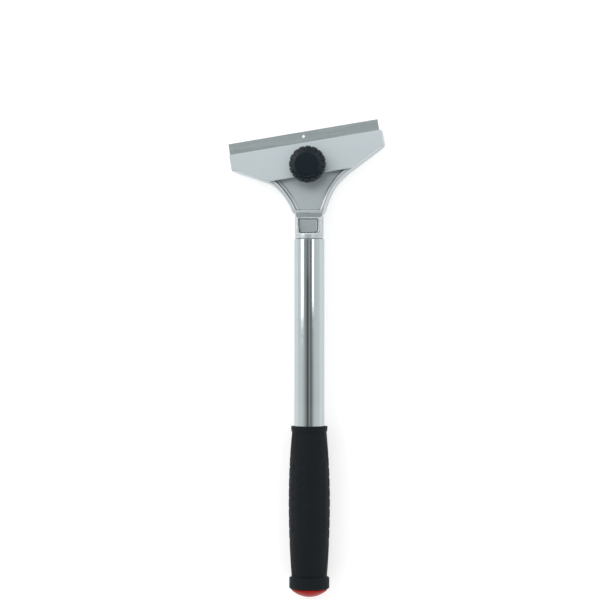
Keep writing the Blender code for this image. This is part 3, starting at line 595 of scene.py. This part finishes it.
def zinc_plating():
    """Bright zinc on small steel parts: a pale grey with faint blue and straw patches."""
    surface = {"Roughness": 0.32, "Metallic": 1.0}
    finish, tree, shader, where = start_finish("blue_passivated_zinc_on_steel", HEAD, surface)
    # Patches of the passivation, about 2.4 mm wide
    patches = add(tree, "TexNoise", {"Vector": where, "Scale": 420.0, "Detail": 3.0}).outputs["Fac"]
    tone = add(tree, "MixRGB", {"Fac": patches, "Color1": linear("#AEB6BD"), "Color2": linear("#C4C1B2")})
    tree.links.new(tone.outputs[0], shader.inputs["Base Color"])
    rough = add(tree, "MapRange", {"Value": patches, "To Min": 0.24, "To Max": 0.42}).outputs["Result"]
    tree.links.new(rough, shader.inputs["Roughness"])
    # Grain of the zinc, drawn coarse at 0.4 mm so that it shows
    grain = add(tree, "TexNoise", {"Vector": where, "Scale": 2600.0, "Detail": 1.0}).outputs["Fac"]
    bump = add(tree, "Bump", {"Height": grain, "Strength": 0.15, "Distance": 0.00005}).outputs["Normal"]
    tree.links.new(bump, shader.inputs["Normal"])
    return finish


def moulded_black_plastic():
    """Glass-filled nylon moulding: near black with a cool tint, a fine eroded grain and a low sheen."""
    surface = {"Roughness": 0.2, "Metallic": 0.0, "Specular IOR Level": 0.25}
    finish, tree, shader, where = start_finish("moulded_black_nylon", HEAD, surface)
    # Eroded grain of about 0.35 mm
    grain = add(tree, "TexNoise", {"Vector": where, "Scale": 2900.0, "Detail": 2.0}).outputs["Fac"]
    # Flow of the glass fibre, in patches of about 5 mm
    flow = add(tree, "TexNoise", {"Vector": where, "Scale": 200.0, "Detail": 3.0}).outputs["Fac"]
    tone = add(tree, "MixRGB", {"Fac": flow, "Color1": linear("#07141B"), "Color2": linear("#0B1A22")})
    tree.links.new(tone.outputs[0], shader.inputs["Base Color"])
    rough = add(tree, "MapRange", {"Value": grain, "To Min": 0.16, "To Max": 0.24}).outputs["Result"]
    tree.links.new(rough, shader.inputs["Roughness"])
    bump = add(tree, "Bump", {"Height": grain, "Strength": 0.1, "Distance": 0.00005}).outputs["Normal"]
    tree.links.new(bump, shader.inputs["Normal"])
    return finish


def moulded_black_rubber():
    """Soft moulded rubber: near black and matt, with a fine grain and a little dust in patches."""
    surface = {"Roughness": 0.62, "Metallic": 0.0, "Specular IOR Level": 0.15}
    finish, tree, shader, where = start_finish("moulded_black_rubber", HANDLE, surface)
    # Grain of about 0.45 mm
    grain = add(tree, "TexNoise", {"Vector": where, "Scale": 2200.0, "Detail": 3.0}).outputs["Fac"]
    # Dust in patches of about 11 mm
    patches = {"Scale": 90.0, "Detail": 4.0, "Roughness": 0.6}
    dust = add(tree, "TexNoise", {"Vector": where, **patches}).outputs["Fac"]
    tone = add(tree, "MixRGB", {"Fac": dust, "Color1": linear("#0C1114"), "Color2": linear("#141A1E")})
    tree.links.new(tone.outputs[0], shader.inputs["Base Color"])
    rough = add(tree, "MapRange", {"Value": dust, "To Min": 0.54, "To Max": 0.74}).outputs["Result"]
    tree.links.new(rough, shader.inputs["Roughness"])
    bump = add(tree, "Bump", {"Height": grain, "Strength": 0.35, "Distance": 0.0001}).outputs["Normal"]
    tree.links.new(bump, shader.inputs["Normal"])
    return finish


def moulded_red_plastic():
    """Glossy red polypropylene: an even deep red with faint flow patches and small scuffs in the gloss."""
    surface = {"Roughness": 0.24, "Metallic": 0.0, "Specular IOR Level": 0.08}
    finish, tree, shader, where = start_finish("moulded_red_polypropylene", HANDLE, surface)
    # Flow of the melt, in patches of about 4 mm
    flow = add(tree, "TexNoise", {"Vector": where, "Scale": 260.0, "Detail": 3.0}).outputs["Fac"]
    tone = add(tree, "MixRGB", {"Fac": flow, "Color1": linear("#9A1914"), "Color2": linear("#A6201A")})
    tree.links.new(tone.outputs[0], shader.inputs["Base Color"])
    # Scuffs of about 1 mm
    marks = {"Scale": 900.0, "Detail": 5.0, "Roughness": 0.7}
    scuffs = add(tree, "TexNoise", {"Vector": where, **marks}).outputs["Fac"]
    limits = {"From Min": 0.35, "From Max": 0.7, "To Min": 0.18, "To Max": 0.32}
    rough = add(tree, "MapRange", {"Value": scuffs, **limits}).outputs["Result"]
    tree.links.new(rough, shader.inputs["Roughness"])
    bump = add(tree, "Bump", {"Height": flow, "Strength": 0.08, "Distance": 0.0001}).outputs["Normal"]
    tree.links.new(bump, shader.inputs["Normal"])
    return finish


LACQUER = cast_silver_lacquer()
SATIN = satin_plated_steel()
STEEL = ground_blade_steel()
CHROME = chrome_plating()
ZINC = zinc_plating()
NYLON = moulded_black_plastic()
RUBBER = moulded_black_rubber()
RED = moulded_red_plastic()


# Head


def mean_of_neighbours(values, ends, neighbours):
    """For each point, the mean of a value over the points that its edges lead to."""
    there = np.concatenate([ends[:, 1], ends[:, 0]])
    here = np.concatenate([ends[:, 0], ends[:, 1]])
    return np.bincount(here, values[there], len(values)) / neighbours


def write_relief(mesh, depth, rounds):
    """The relief attribute: a point's depth under the mean of its neighbours along its normal, evened out.

    It is near 1 in a sharp hollow corner, near -1 on a sharp edge and 0 on a flat.
    """
    count = len(mesh.vertices)
    ends, points, normals = np.empty(len(mesh.edges) * 2, int), np.empty(count * 3), np.empty(count * 3)
    mesh.edges.foreach_get("vertices", ends)
    mesh.vertices.foreach_get("co", points)
    mesh.vertices.foreach_get("normal", normals)
    ends, points, normals = ends.reshape(-1, 2), points.reshape(-1, 3), normals.reshape(-1, 3)
    neighbours = np.maximum(np.bincount(ends.ravel(), minlength=count), 1)
    means = np.stack([mean_of_neighbours(points[:, axis], ends, neighbours) for axis in range(3)], -1)
    relief = np.sum((means - points) * normals, 1) / (depth * MM)
    for _ in range(rounds):
        relief = (relief + mean_of_neighbours(relief, ends, neighbours)) / 2
    attribute = mesh.attributes.new("relief", "FLOAT", "POINT")
    attribute.data.foreach_set("value", np.clip(relief, -1, 1).astype(np.float32))


def stack_mesh(name, outlines, heights, middle, place):
    """A closed body through a stack of outlines, each at its height. Both ends close on the middle point."""
    end = np.broadcast_to(middle, outlines[0].shape)
    flat = np.stack([end, *outlines, end])
    levels = (np.mean(heights[0]), *heights, heights[-1])
    heights = np.stack([np.broadcast_to(level, len(end)) for level in levels])
    return grid_mesh(name, np.concatenate([flat, heights[..., None]], -1), place)


def tray_tool():
    """The tray's deeper part as a prism on its rounded outline."""
    outline = rounded(TRAY_CORNERS, TRAY_CORNER_RADIUS)
    return stack_mesh("tray", [outline, outline], [TRAY_FLOOR, ABOVE_TRAY], TRAY_MIDDLE, HEAD)


def window_tool():
    """The window as a prism, whose floor falls beside its walls, the more the nearer they are to the tube."""
    outline = rounded(WINDOW_CORNERS, WINDOW_CORNER_RADII)
    bend = rounded(inset(WINDOW_CORNERS, WINDOW_FLOOR_BEND), WINDOW_BEND_RADII)
    low = WINDOW_FLOOR_EDGE + WINDOW_FLOOR_SLOPE * (outline[:, 1] - outline[:, 1].min())
    heights = [WINDOW_FLOOR, low, ABOVE_NECK]
    facing_up = HANDLE @ Matrix.Rotation(-math.pi / 2, 4, "X")
    return stack_mesh("window", [bend, outline, outline], heights, WINDOW_MIDDLE, facing_up)


def make_head_casting():
    """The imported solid's skin on an even net, with the window's walls cut upright and a step in the tray.

    Every edge gets the small round of a casting, and the flats along the net stay flat.
    """
    mesh = weld(frame["nodes"]["head_casting"].data.copy())
    mesh = cut_away(cut_away(mesh, window_tool()), tray_tool())
    mesh.transform(HEAD.inverted())
    thing = bpy.data.objects.new("net", mesh)
    bpy.context.scene.collection.objects.link(thing)
    net = thing.modifiers.new("net", "REMESH")
    net.mode = "VOXEL"
    net.voxel_size = NET_SPACING * MM
    soft = thing.modifiers.new("soft", "SMOOTH")
    soft.factor = NET_SOFTENING
    soft.iterations = NET_SOFTENING_ROUNDS
    thin = thing.modifiers.new("thin", "DECIMATE")
    thin.ratio = NET_KEPT_SHARE
    mesh = applied(thing)
    write_relief(mesh, RELIEF_DEPTH, RELIEF_ROUNDS)
    mesh.transform(HEAD)
    show("cast_head", mesh, "frame", LACQUER, "head_casting", sharp_degrees=180)


def make_blade():
    """The strip's section, carried along its length; its end sections close on their own middle."""
    half, keen, back = BLADE_THICKNESS / 2, BLADE_KEEN_THICKNESS / 2, BLADE_WIDTH / 2
    ground = BLADE_GRIND_WIDTH - back
    corners = [(back, -half), (back, half), (ground, half), (-back, keen), (-back, -keen), (ground, -half)]
    section = rounded(corners, BLADE_SECTION_RADII)
    end = BLADE_LENGTH / 2
    stations = np.array([-end, -end, BLADE_END_CHAMFER - end, end - BLADE_END_CHAMFER, end, end])
    spread = np.array([(0, 0), BLADE_END_SHARES, (1, 1), (1, 1), BLADE_END_SHARES, (0, 0)])
    middle = np.array([BLADE_EDGE - back, BLADE_LIFT + half])
    across = middle + section[None, :, :] * spread[:, None, :]
    length = np.broadcast_to((stations + BLADE_SHIFT)[:, None, None], (len(stations), len(section), 1))
    mesh = grid_mesh("blade", np.concatenate([length, across], -1), HEAD)
    hole = Matrix.Translation((BLADE_SHIFT * MM, (BLADE_EDGE - BLADE_HOLE_INSET) * MM, 0))
    mesh = drilled(mesh, BLADE_HOLE_RADIUS, BLADE_HOLE_FROM, BLADE_HOLE_TO, HEAD @ hole)
    show("ground_blade", mesh, "blade", STEEL, "blade", sharp_degrees=30)


def make_clamp_plate():
    """Rows up the bolt hole's wall, over the top, round the outline's edge and back under to the hole.

    The edge is a quarter circle at the top and another at the bottom.
    """
    outline, ways = outline_with_ways(PLATE_CORNERS, PLATE_CORNER_RADIUS, PLATE_POINT_SPACING)
    turn = np.linspace(0, math.pi / 2, PLATE_EDGE_STEPS)
    back = PLATE_EDGE_ROUNDING * (1 - np.sin(turn))
    rise = PLATE_EDGE_ROUNDING * (1 - np.cos(turn))
    inward = np.concatenate([back, back[::-1]])
    heights = np.concatenate([PLATE_HIGH - rise, PLATE_LOW + rise[::-1]])
    edge = outline[None, :, :] - inward[:, None, None] * ways[None, :, :]
    chamfer = PLATE_HOLE_CHAMFER
    hole = unit(outline)[None, :, :] * (BOLT_HOLE_RADIUS + np.array([chamfer, 0, 0, chamfer])[:, None, None])
    hole_heights = np.array([PLATE_LOW, PLATE_LOW + chamfer, PLATE_HIGH - chamfer, PLATE_HIGH])
    flat = np.concatenate([hole, edge])
    height = np.concatenate([hole_heights, heights])[:, None, None] * np.ones((1, len(outline), 1))
    mesh = grid_mesh("clamp_plate", np.concatenate([flat, height], -1), HEAD, rows_meet=True)
    show("satin_clamp_plate", mesh, "plate", SATIN, "clamp_plate")


def make_washer():
    """A rectangle with rounded corners, turned about the bolt."""
    low, high = WASHER_LOW, WASHER_LOW + WASHER_HEIGHT
    ring = [(WASHER_RADIUS, low), (WASHER_RADIUS, high), (BOLT_HOLE_RADIUS, high), (BOLT_HOLE_RADIUS, low)]
    section = rounded(ring, WASHER_ROUNDING)
    mesh = grid_mesh("knob_washer", turned(section, FASTENER_SIDES), HEAD, rows_meet=True)
    show("plated_washer", mesh, "washer", ZINC, "knob_washer")


def make_bolt():
    """A hexagonal head under a cone, then a shank whose radius is the thread's, cut by the tip's cone."""
    angle = circle(FASTENER_SIDES)[None, :]
    head_height, cone = np.array(BOLT_HEAD_ROWS).T[:, :, None]
    head = np.minimum(hexagon_radius(angle, HEX_ACROSS_FLATS), cone)
    height = np.arange(BOLT_THREAD_FROM, -BOLT_LENGTH, -THREAD_PITCH / THREAD_ROWS_A_PITCH)[:, None]
    tip = np.maximum(THREAD_RADIUS - BOLT_TIP_NARROWING + (height + BOLT_LENGTH) * BOLT_TIP_SLOPE, 0)
    shank = np.minimum(thread_radius(angle, height, THREAD_RADIUS, THREAD_DEPTH), tip)
    end = np.zeros((1, FASTENER_SIDES))
    radius = np.concatenate([head, shank, end])
    heights = np.concatenate([head_height, height, [[-BOLT_LENGTH]]]) + KNOB_LOW
    mesh = grid_mesh("knob_bolt", ring_points(radius, heights), HEAD)
    show("plated_bolt", mesh, "knob", ZINC, "knob_bolt", sharp_degrees=24)


def make_nut():
    """Rows up the threaded bore, over the top face and down the hexagon, whose corners a cone cuts."""
    angle = circle(FASTENER_SIDES)[None, :]
    rise = np.arange(0, NUT_HEIGHT + RANGE_END, THREAD_PITCH / THREAD_ROWS_A_PITCH)[:, None]
    from_face = np.minimum(rise, NUT_HEIGHT - rise)
    mouth = BOLT_HOLE_RADIUS + NUT_MOUTH_WIDENING - NUT_MOUTH_SLOPE * from_face
    thread = thread_radius(angle, rise, BOLT_HOLE_RADIUS + NUT_THREAD_CLEARANCE, NUT_THREAD_DEPTH)
    bore = np.maximum(thread, mouth)
    fall, cone = np.array(NUT_CORNER_ROWS).T[:, :, None]
    outside = np.minimum(hexagon_radius(angle, HEX_ACROSS_FLATS), np.concatenate([cone, cone[::-1]]))
    radius = np.concatenate([bore, outside])
    heights = np.concatenate([rise, NUT_HEIGHT - fall, fall[::-1]]) + NUT_LOW
    mesh = grid_mesh("clamp_nut", ring_points(radius, heights), HEAD, rows_meet=True)
    show("plated_nut", mesh, "frame", ZINC, "clamp_nut", sharp_degrees=24)


def knob_shoulder():
    """Height, radius and share of the notch's depth over the shoulder, from the rim to the top.

    Height follows the sine of a quarter turn and radius a power of its cosine, a little fuller than an
    ellipse. The share is 1 at the rim, grows with the sine of twice the turn, and the turn's cube takes it
    to nothing at the top.
    """
    turn = np.linspace(0, math.pi / 2, KNOB_SHOULDER_STEPS)[1:-1]
    rim_height, rim_radius = KNOB_RIM[-1][:2]
    height = rim_height + KNOB_SHOULDER_HEIGHT * np.sin(turn)
    radius = rim_radius - KNOB_SHOULDER_REACH * (1 - np.cos(turn) ** KNOB_SHOULDER_POWER)
    share = 1 + KNOB_SHOULDER_NOTCH_SHARE * np.sin(2 * turn) - (turn / (math.pi / 2)) ** 3
    return np.stack([height, radius, share], -1)


def make_knob():
    """A turned profile whose radius dips in notches between round lobes.

    The dip is a power of the distance from the lobe's middle times the row's share, which is nothing at
    the hub and on the flat top. The first rows form the hexagonal socket of the bolt's head.
    """
    angle = circle(KNOB_LOBES * KNOB_POINTS_A_LOBE)[None, :]
    rows = np.concatenate([KNOB_HUB, KNOB_FLARE, KNOB_RIM, knob_shoulder(), KNOB_TOP])
    height, base, share = rows.T[:, :, None]
    from_middle = np.abs(2 * np.mod(angle * KNOB_LOBES / (2 * math.pi), 1) - 1)
    outside = base - KNOB_NOTCH_DEPTH * share * from_middle**KNOB_NOTCH_SHARPNESS
    flats = hexagon_radius(angle, HEX_ACROSS_FLATS + KNOB_SOCKET_PLAY)
    socket = np.concatenate([flats * 0, flats, flats, flats + KNOB_SOCKET_CHAMFER])
    socket_height = np.array([KNOB_SOCKET_DEPTH, KNOB_SOCKET_DEPTH, KNOB_SOCKET_CHAMFER, 0])[:, None]
    radius = np.concatenate([socket, outside])
    heights = np.concatenate([socket_height, height]) + KNOB_LOW
    mesh = grid_mesh("knob", ring_points(radius, heights), HEAD)
    show("lobed_knob", mesh, "knob", NYLON, "knob", sharp_degrees=42)


# Handle


def make_tube():
    """The wall's section with rounded ends, turned about the axis, with the pin's hole through its back."""
    outer, inner = TUBE_RADIUS, TUBE_RADIUS - TUBE_WALL
    wall = rounded([(outer, 0), (outer, TUBE_LENGTH), (inner, TUBE_LENGTH), (inner, 0)], TUBE_ROUNDING)
    mesh = grid_mesh("handle_tube", turned(wall, TUBE_SIDES), HANDLE, rows_meet=True)
    downwards = HANDLE @ Matrix.Translation((0, 0, PIN_AT * MM)) @ Matrix.Rotation(math.pi / 2, 4, "X")
    mesh = drilled(mesh, PIN_RADIUS + PIN_HOLE_PLAY, PIN_HOLE_FROM, PIN_HOLE_TO, downwards)
    show("chromed_tube", mesh, "frame", CHROME, "handle_tube", sharp_degrees=30)


def make_pin():
    """A slit sleeve: its section, an arc out and the same arc back, is carried along the pin.

    At both ends the wall thins to nothing, which closes the ends with a chamfer.
    """
    gap = math.radians(PIN_SLIT_DEGREES) / 2
    sweep = np.linspace(gap, 2 * math.pi - gap, PIN_ARC_POINTS)
    angle = np.concatenate([sweep, sweep[::-1]])
    side = np.repeat([PIN_HALF_WALL, -PIN_HALF_WALL], PIN_ARC_POINTS)
    rise, share = np.array(PIN_END_ROWS).T[:, :, None]
    height = np.concatenate([rise, PIN_LENGTH - rise[::-1]])
    radius = PIN_MIDDLE_RADIUS + side * np.concatenate([share, share[::-1]])
    points = np.stack(np.broadcast_arrays(radius * np.cos(angle), radius * np.sin(angle), height), -1)
    upwards = Matrix.Rotation(-math.pi / 2, 4, "X")
    bottom = HANDLE @ Matrix.Translation((0, PIN_LOW * MM, PIN_AT * MM)) @ upwards
    mesh = grid_mesh("tube_pin", points, bottom)
    show("spring_pin", mesh, "frame", ZINC, "tube_pin", sharp_degrees=50)


def fade(value, start, end):
    """0 before start and 1 after end, with a smooth step between."""
    share = np.clip((value - start) / (end - start), 0, 1)
    return share * share * (3 - 2 * share)


def belly_radius(length):
    """Two parabolas that meet at the widest row, sunk by the pads' height where the pads stand."""
    before = np.clip((BELLY_AT - length) / (BELLY_AT - COLLAR_LENGTH), 0, 1) ** 2
    past = np.clip((length - BELLY_AT) / (FLANGE_TOP - BELLY_AT), 0, 1) ** 2
    fall = (BELLY_RADIUS - NECKING_RADIUS) * before + (BELLY_RADIUS - WAIST_RADIUS) * past
    sunk = fade(length, PAD_FIRST - SINKING_FROM, PAD_FIRST - SINKING_TO)
    sunk = sunk * fade(-length, -PAD_LAST - RISING_TO, -PAD_LAST - RISING_FROM)
    return BELLY_RADIUS - fall - PAD_HEIGHT * sunk


def raised_pads(length, angle, belly):
    """Height of the pads, which stand in columns round the grip.

    Every second column starts half a pitch nearer the head and has one more. Each pad is a blunt lozenge,
    high where the sum of the two distances from its middle, each to a power, is small.
    """
    columns = angle * PAD_COLUMNS / (2 * math.pi)
    column = np.round(columns)
    across = np.abs(columns - column) * 2 * math.pi / PAD_COLUMNS * belly / PAD_HALF_WIDTH
    longer = np.mod(column, 2) == 0
    rows = (length - PAD_FIRST + np.where(longer, PAD_PITCH / 2, 0)) / PAD_PITCH
    last = round((PAD_LAST - PAD_FIRST) / PAD_PITCH)
    row = np.clip(np.round(rows), 0, np.where(longer, last, last - 1))
    down = np.abs(rows - row) * PAD_PITCH / PAD_HALF_HEIGHT
    return PAD_HEIGHT * fade(-(across**PAD_POWER + down**PAD_POWER), -1, PAD_FLANK_SHARE - 1)


def end_grooves(length, angle, belly):
    """Depth of the grooves that bound the front and the back face towards both ends.

    Away from the end a groove leads towards the side, by a power of the way from the end, and fades out.
    """
    near_end = np.minimum(length - COLLAR_LENGTH, FLANGE_TOP - length)
    spread = GROOVE_SPREAD_DEGREES * np.clip(near_end / GROOVE_REACH, 0, 1) ** GROOVE_POWER
    from_front = np.abs(np.mod(angle - math.pi / 2 + math.pi, 2 * math.pi) - math.pi)
    from_face = np.minimum(from_front, math.pi - from_front)
    off_groove = np.abs(from_face - np.radians(GROOVE_DEGREES + spread)) * belly / GROOVE_HALF_WIDTH
    end_fade = fade(-near_end, -GROOVE_FADES_TO, -GROOVE_FADES_FROM)
    return GROOVE_DEPTH * end_fade * fade(-off_groove, -1, -GROOVE_BED_SHARE)


def make_grip():
    """A turned sleeve: from the bore round the collar's lip, down the belly, round the flange and back."""
    length = np.arange(COLLAR_LENGTH, FLANGE_TOP + RANGE_END, GRIP_ROW_SPACING)[:, None]
    length[-1] = FLANGE_TOP
    angle = circle(GRIP_SIDES)[None, :]
    belly = belly_radius(length)
    skin = belly + raised_pads(length, angle, belly) - end_grooves(length, angle, belly)
    # Radius and distance from the top. The skin takes the place of the collar's last two corners and of
    # the flange's first two
    collar_corners = [
        (GRIP_BORE, 0),
        (COLLAR_RADIUS, 0),
        (COLLAR_FOOT_RADIUS, COLLAR_FOOT - COLLAR_FOOT_SLOPE),
        (NECKING_RADIUS, COLLAR_FOOT),
        (GRIP_BORE, COLLAR_FOOT),
    ]
    flange_corners = [
        (GRIP_BORE, FLANGE_TOP),
        (WAIST_RADIUS, FLANGE_TOP),
        (FLANGE_RADIUS, FLANGE_TOP + FLANGE_SLOPE),
        (FLANGE_RADIUS, GRIP_LENGTH),
        (GRIP_BORE, GRIP_LENGTH),
    ]
    collar = rounded(collar_corners, COLLAR_RADII)[: -2 * CORNER_STEPS]
    flange = rounded(flange_corners, FLANGE_RADII)[2 * CORNER_STEPS :]
    ones = np.ones((1, GRIP_SIDES))
    radius = np.concatenate([collar[:, :1] * ones, skin, flange[:, :1] * ones])
    height = np.concatenate([collar[:, 1:], length, flange[:, 1:]]) + GRIP_TOP
    mesh = grid_mesh("grip", ring_points(radius, height), HANDLE, rows_meet=True)
    show("rubber_grip", mesh, "frame", RUBBER, "grip", sharp_degrees=60)


def make_end_cap():
    """A domed cap over a short rim, with a hollow stem in the tube, turned.

    The dome is the part of a ball over the cap's circle, in even steps of the angle from the axis.
    """
    ball = (CAP_RADIUS**2 + CAP_DOME**2) / (2 * CAP_DOME)
    spread = np.linspace(0, math.asin(CAP_RADIUS / ball), CAP_DOME_ROWS + 1)[:-1]
    end = GRIP_TOP + GRIP_LENGTH + CAP_GAP
    dome = np.stack([ball * np.sin(spread), end + CAP_RIM + CAP_DOME - ball * (1 - np.cos(spread))], -1)
    stem = [
        (CAP_RADIUS, end + CAP_RIM),
        (CAP_RADIUS, end),
        (CAP_STEM_RADIUS, end),
        (CAP_STEM_RADIUS, end - CAP_STEM_LENGTH),
        (CAP_STEM_BORE, end - CAP_STEM_LENGTH),
        (CAP_STEM_BORE, end),
        (0, end),
    ]
    profile = np.vstack([dome, rounded(stem, CAP_RADII)])
    mesh = grid_mesh("end_cap", turned(profile, CAP_SIDES), HANDLE)
    show("domed_end_cap", mesh, "frame", RED, "end_cap", sharp_degrees=40)


# Camera, floor and light


def make_camera():
    """Camera over the picture's middle, turned about the handle's axis to see a little of the right side."""
    turn = Matrix.Rotation(math.radians(CAMERA_ROLL_DEGREES), 4, "Y")
    across = (IMAGE_SIDE / 2 - AXIS_PIXEL_X) / PIXELS_PER_MM * MM
    down = (IMAGE_SIDE / 2 - TUBE_TOP_PIXEL_Y) / PIXELS_PER_MM * MM
    camera = bpy.data.cameras.new("camera")
    camera.sensor_width = SENSOR_WIDTH
    camera.lens = SENSOR_WIDTH * CAMERA_DISTANCE / (IMAGE_SIDE / PIXELS_PER_MM * MM)
    holder = bpy.data.objects.new("camera", camera)
    bpy.context.scene.collection.objects.link(holder)
    stand = Matrix.Translation((across, -down, CAMERA_DISTANCE))
    holder.matrix_world = Matrix.Translation(HANDLE.translation) @ turn @ stand
    bpy.context.scene.camera = holder


def make_floor():
    """A pale floor that camera, glossy and transmission rays see lighter, with its shadows kept."""
    mesh = bpy.data.meshes.new("floor")
    corners = [(x * FLOOR_REACH, y * FLOOR_REACH, 0) for x, y in ((-1, -1), (1, -1), (1, 1), (-1, 1))]
    mesh.from_pydata(corners, [], [(0, 1, 2, 3)])
    floor = bpy.data.objects.new("floor", mesh)
    bpy.context.scene.collection.objects.link(floor)
    finish = bpy.data.materials.new("pale_floor")
    finish.use_nodes = True
    tree = finish.node_tree
    tree.nodes.clear()
    rays = add(tree, "LightPath").outputs
    seen = rays["Is Camera Ray"]
    for kind in ("Is Glossy Ray", "Is Transmission Ray"):
        seen = add(tree, "Math", {0: seen, 1: rays[kind]}, operation="MAXIMUM").outputs[0]
    glow = add(tree, "Math", {0: seen, 1: FLOOR_GLOW}, operation="MULTIPLY").outputs[0]
    matt = add(tree, "BsdfDiffuse", {"Color": grey(FLOOR_LEVEL)}).outputs[0]
    light = add(tree, "Emission", {"Color": grey(1.0), "Strength": glow}).outputs[0]
    both = add(tree, "AddShader", {0: matt, 1: light}).outputs[0]
    add(tree, "OutputMaterial", {"Surface": both})
    mesh.materials.append(finish)


def make_room():
    """The room's light by its angle across the handle: pale walls, and darker overhead, round the camera."""
    world = bpy.data.worlds.new("room")
    bpy.context.scene.world = world
    world.use_nodes = True
    tree = world.node_tree
    way = add(tree, "SeparateXYZ", {0: add(tree, "TexCoord").outputs["Generated"]}).outputs
    angle = add(tree, "Math", {0: way["X"], 1: way["Z"]}, operation="ARCTAN2").outputs[0]
    limits = {"From Min": -math.pi / 2, "From Max": math.pi / 2}
    share = add(tree, "MapRange", {"Value": angle, **limits}).outputs["Result"]
    stops = [((degrees + 90) / 180, grey(level)) for degrees, level in ROOM_LEVELS]
    level = add(tree, "ValToRGB", {"Fac": share}, stops=stops).outputs["Color"]
    tree.links.new(level, tree.nodes["Background"].inputs["Color"])


def make_lamp(name, place, target, width, length, level):
    """A soft box that faces its target; level is its brightness, and its power follows from its area."""
    lamp = bpy.data.lights.new(name, "AREA")
    lamp.shape = "RECTANGLE"
    lamp.size = width
    lamp.size_y = length
    lamp.energy = level * math.pi * width * length
    holder = bpy.data.objects.new(name, lamp)
    bpy.context.scene.collection.objects.link(holder)
    back = (Vector(place) - Vector(target)).normalized()
    across = Vector((0, 1, 0)).cross(back).normalized()
    turn = Matrix((across, back.cross(across), back)).transposed().to_4x4()
    holder.matrix_world = Matrix.Translation(place) @ turn


make_head_casting()
make_blade()
make_clamp_plate()
make_washer()
make_bolt()
make_nut()
make_knob()
make_tube()
make_pin()
make_grip()
make_end_cap()
make_camera()
make_floor()
make_room()
for lamp in LAMPS:
    make_lamp(*lamp)
bpy.context.scene.view_settings.view_transform = "Standard"
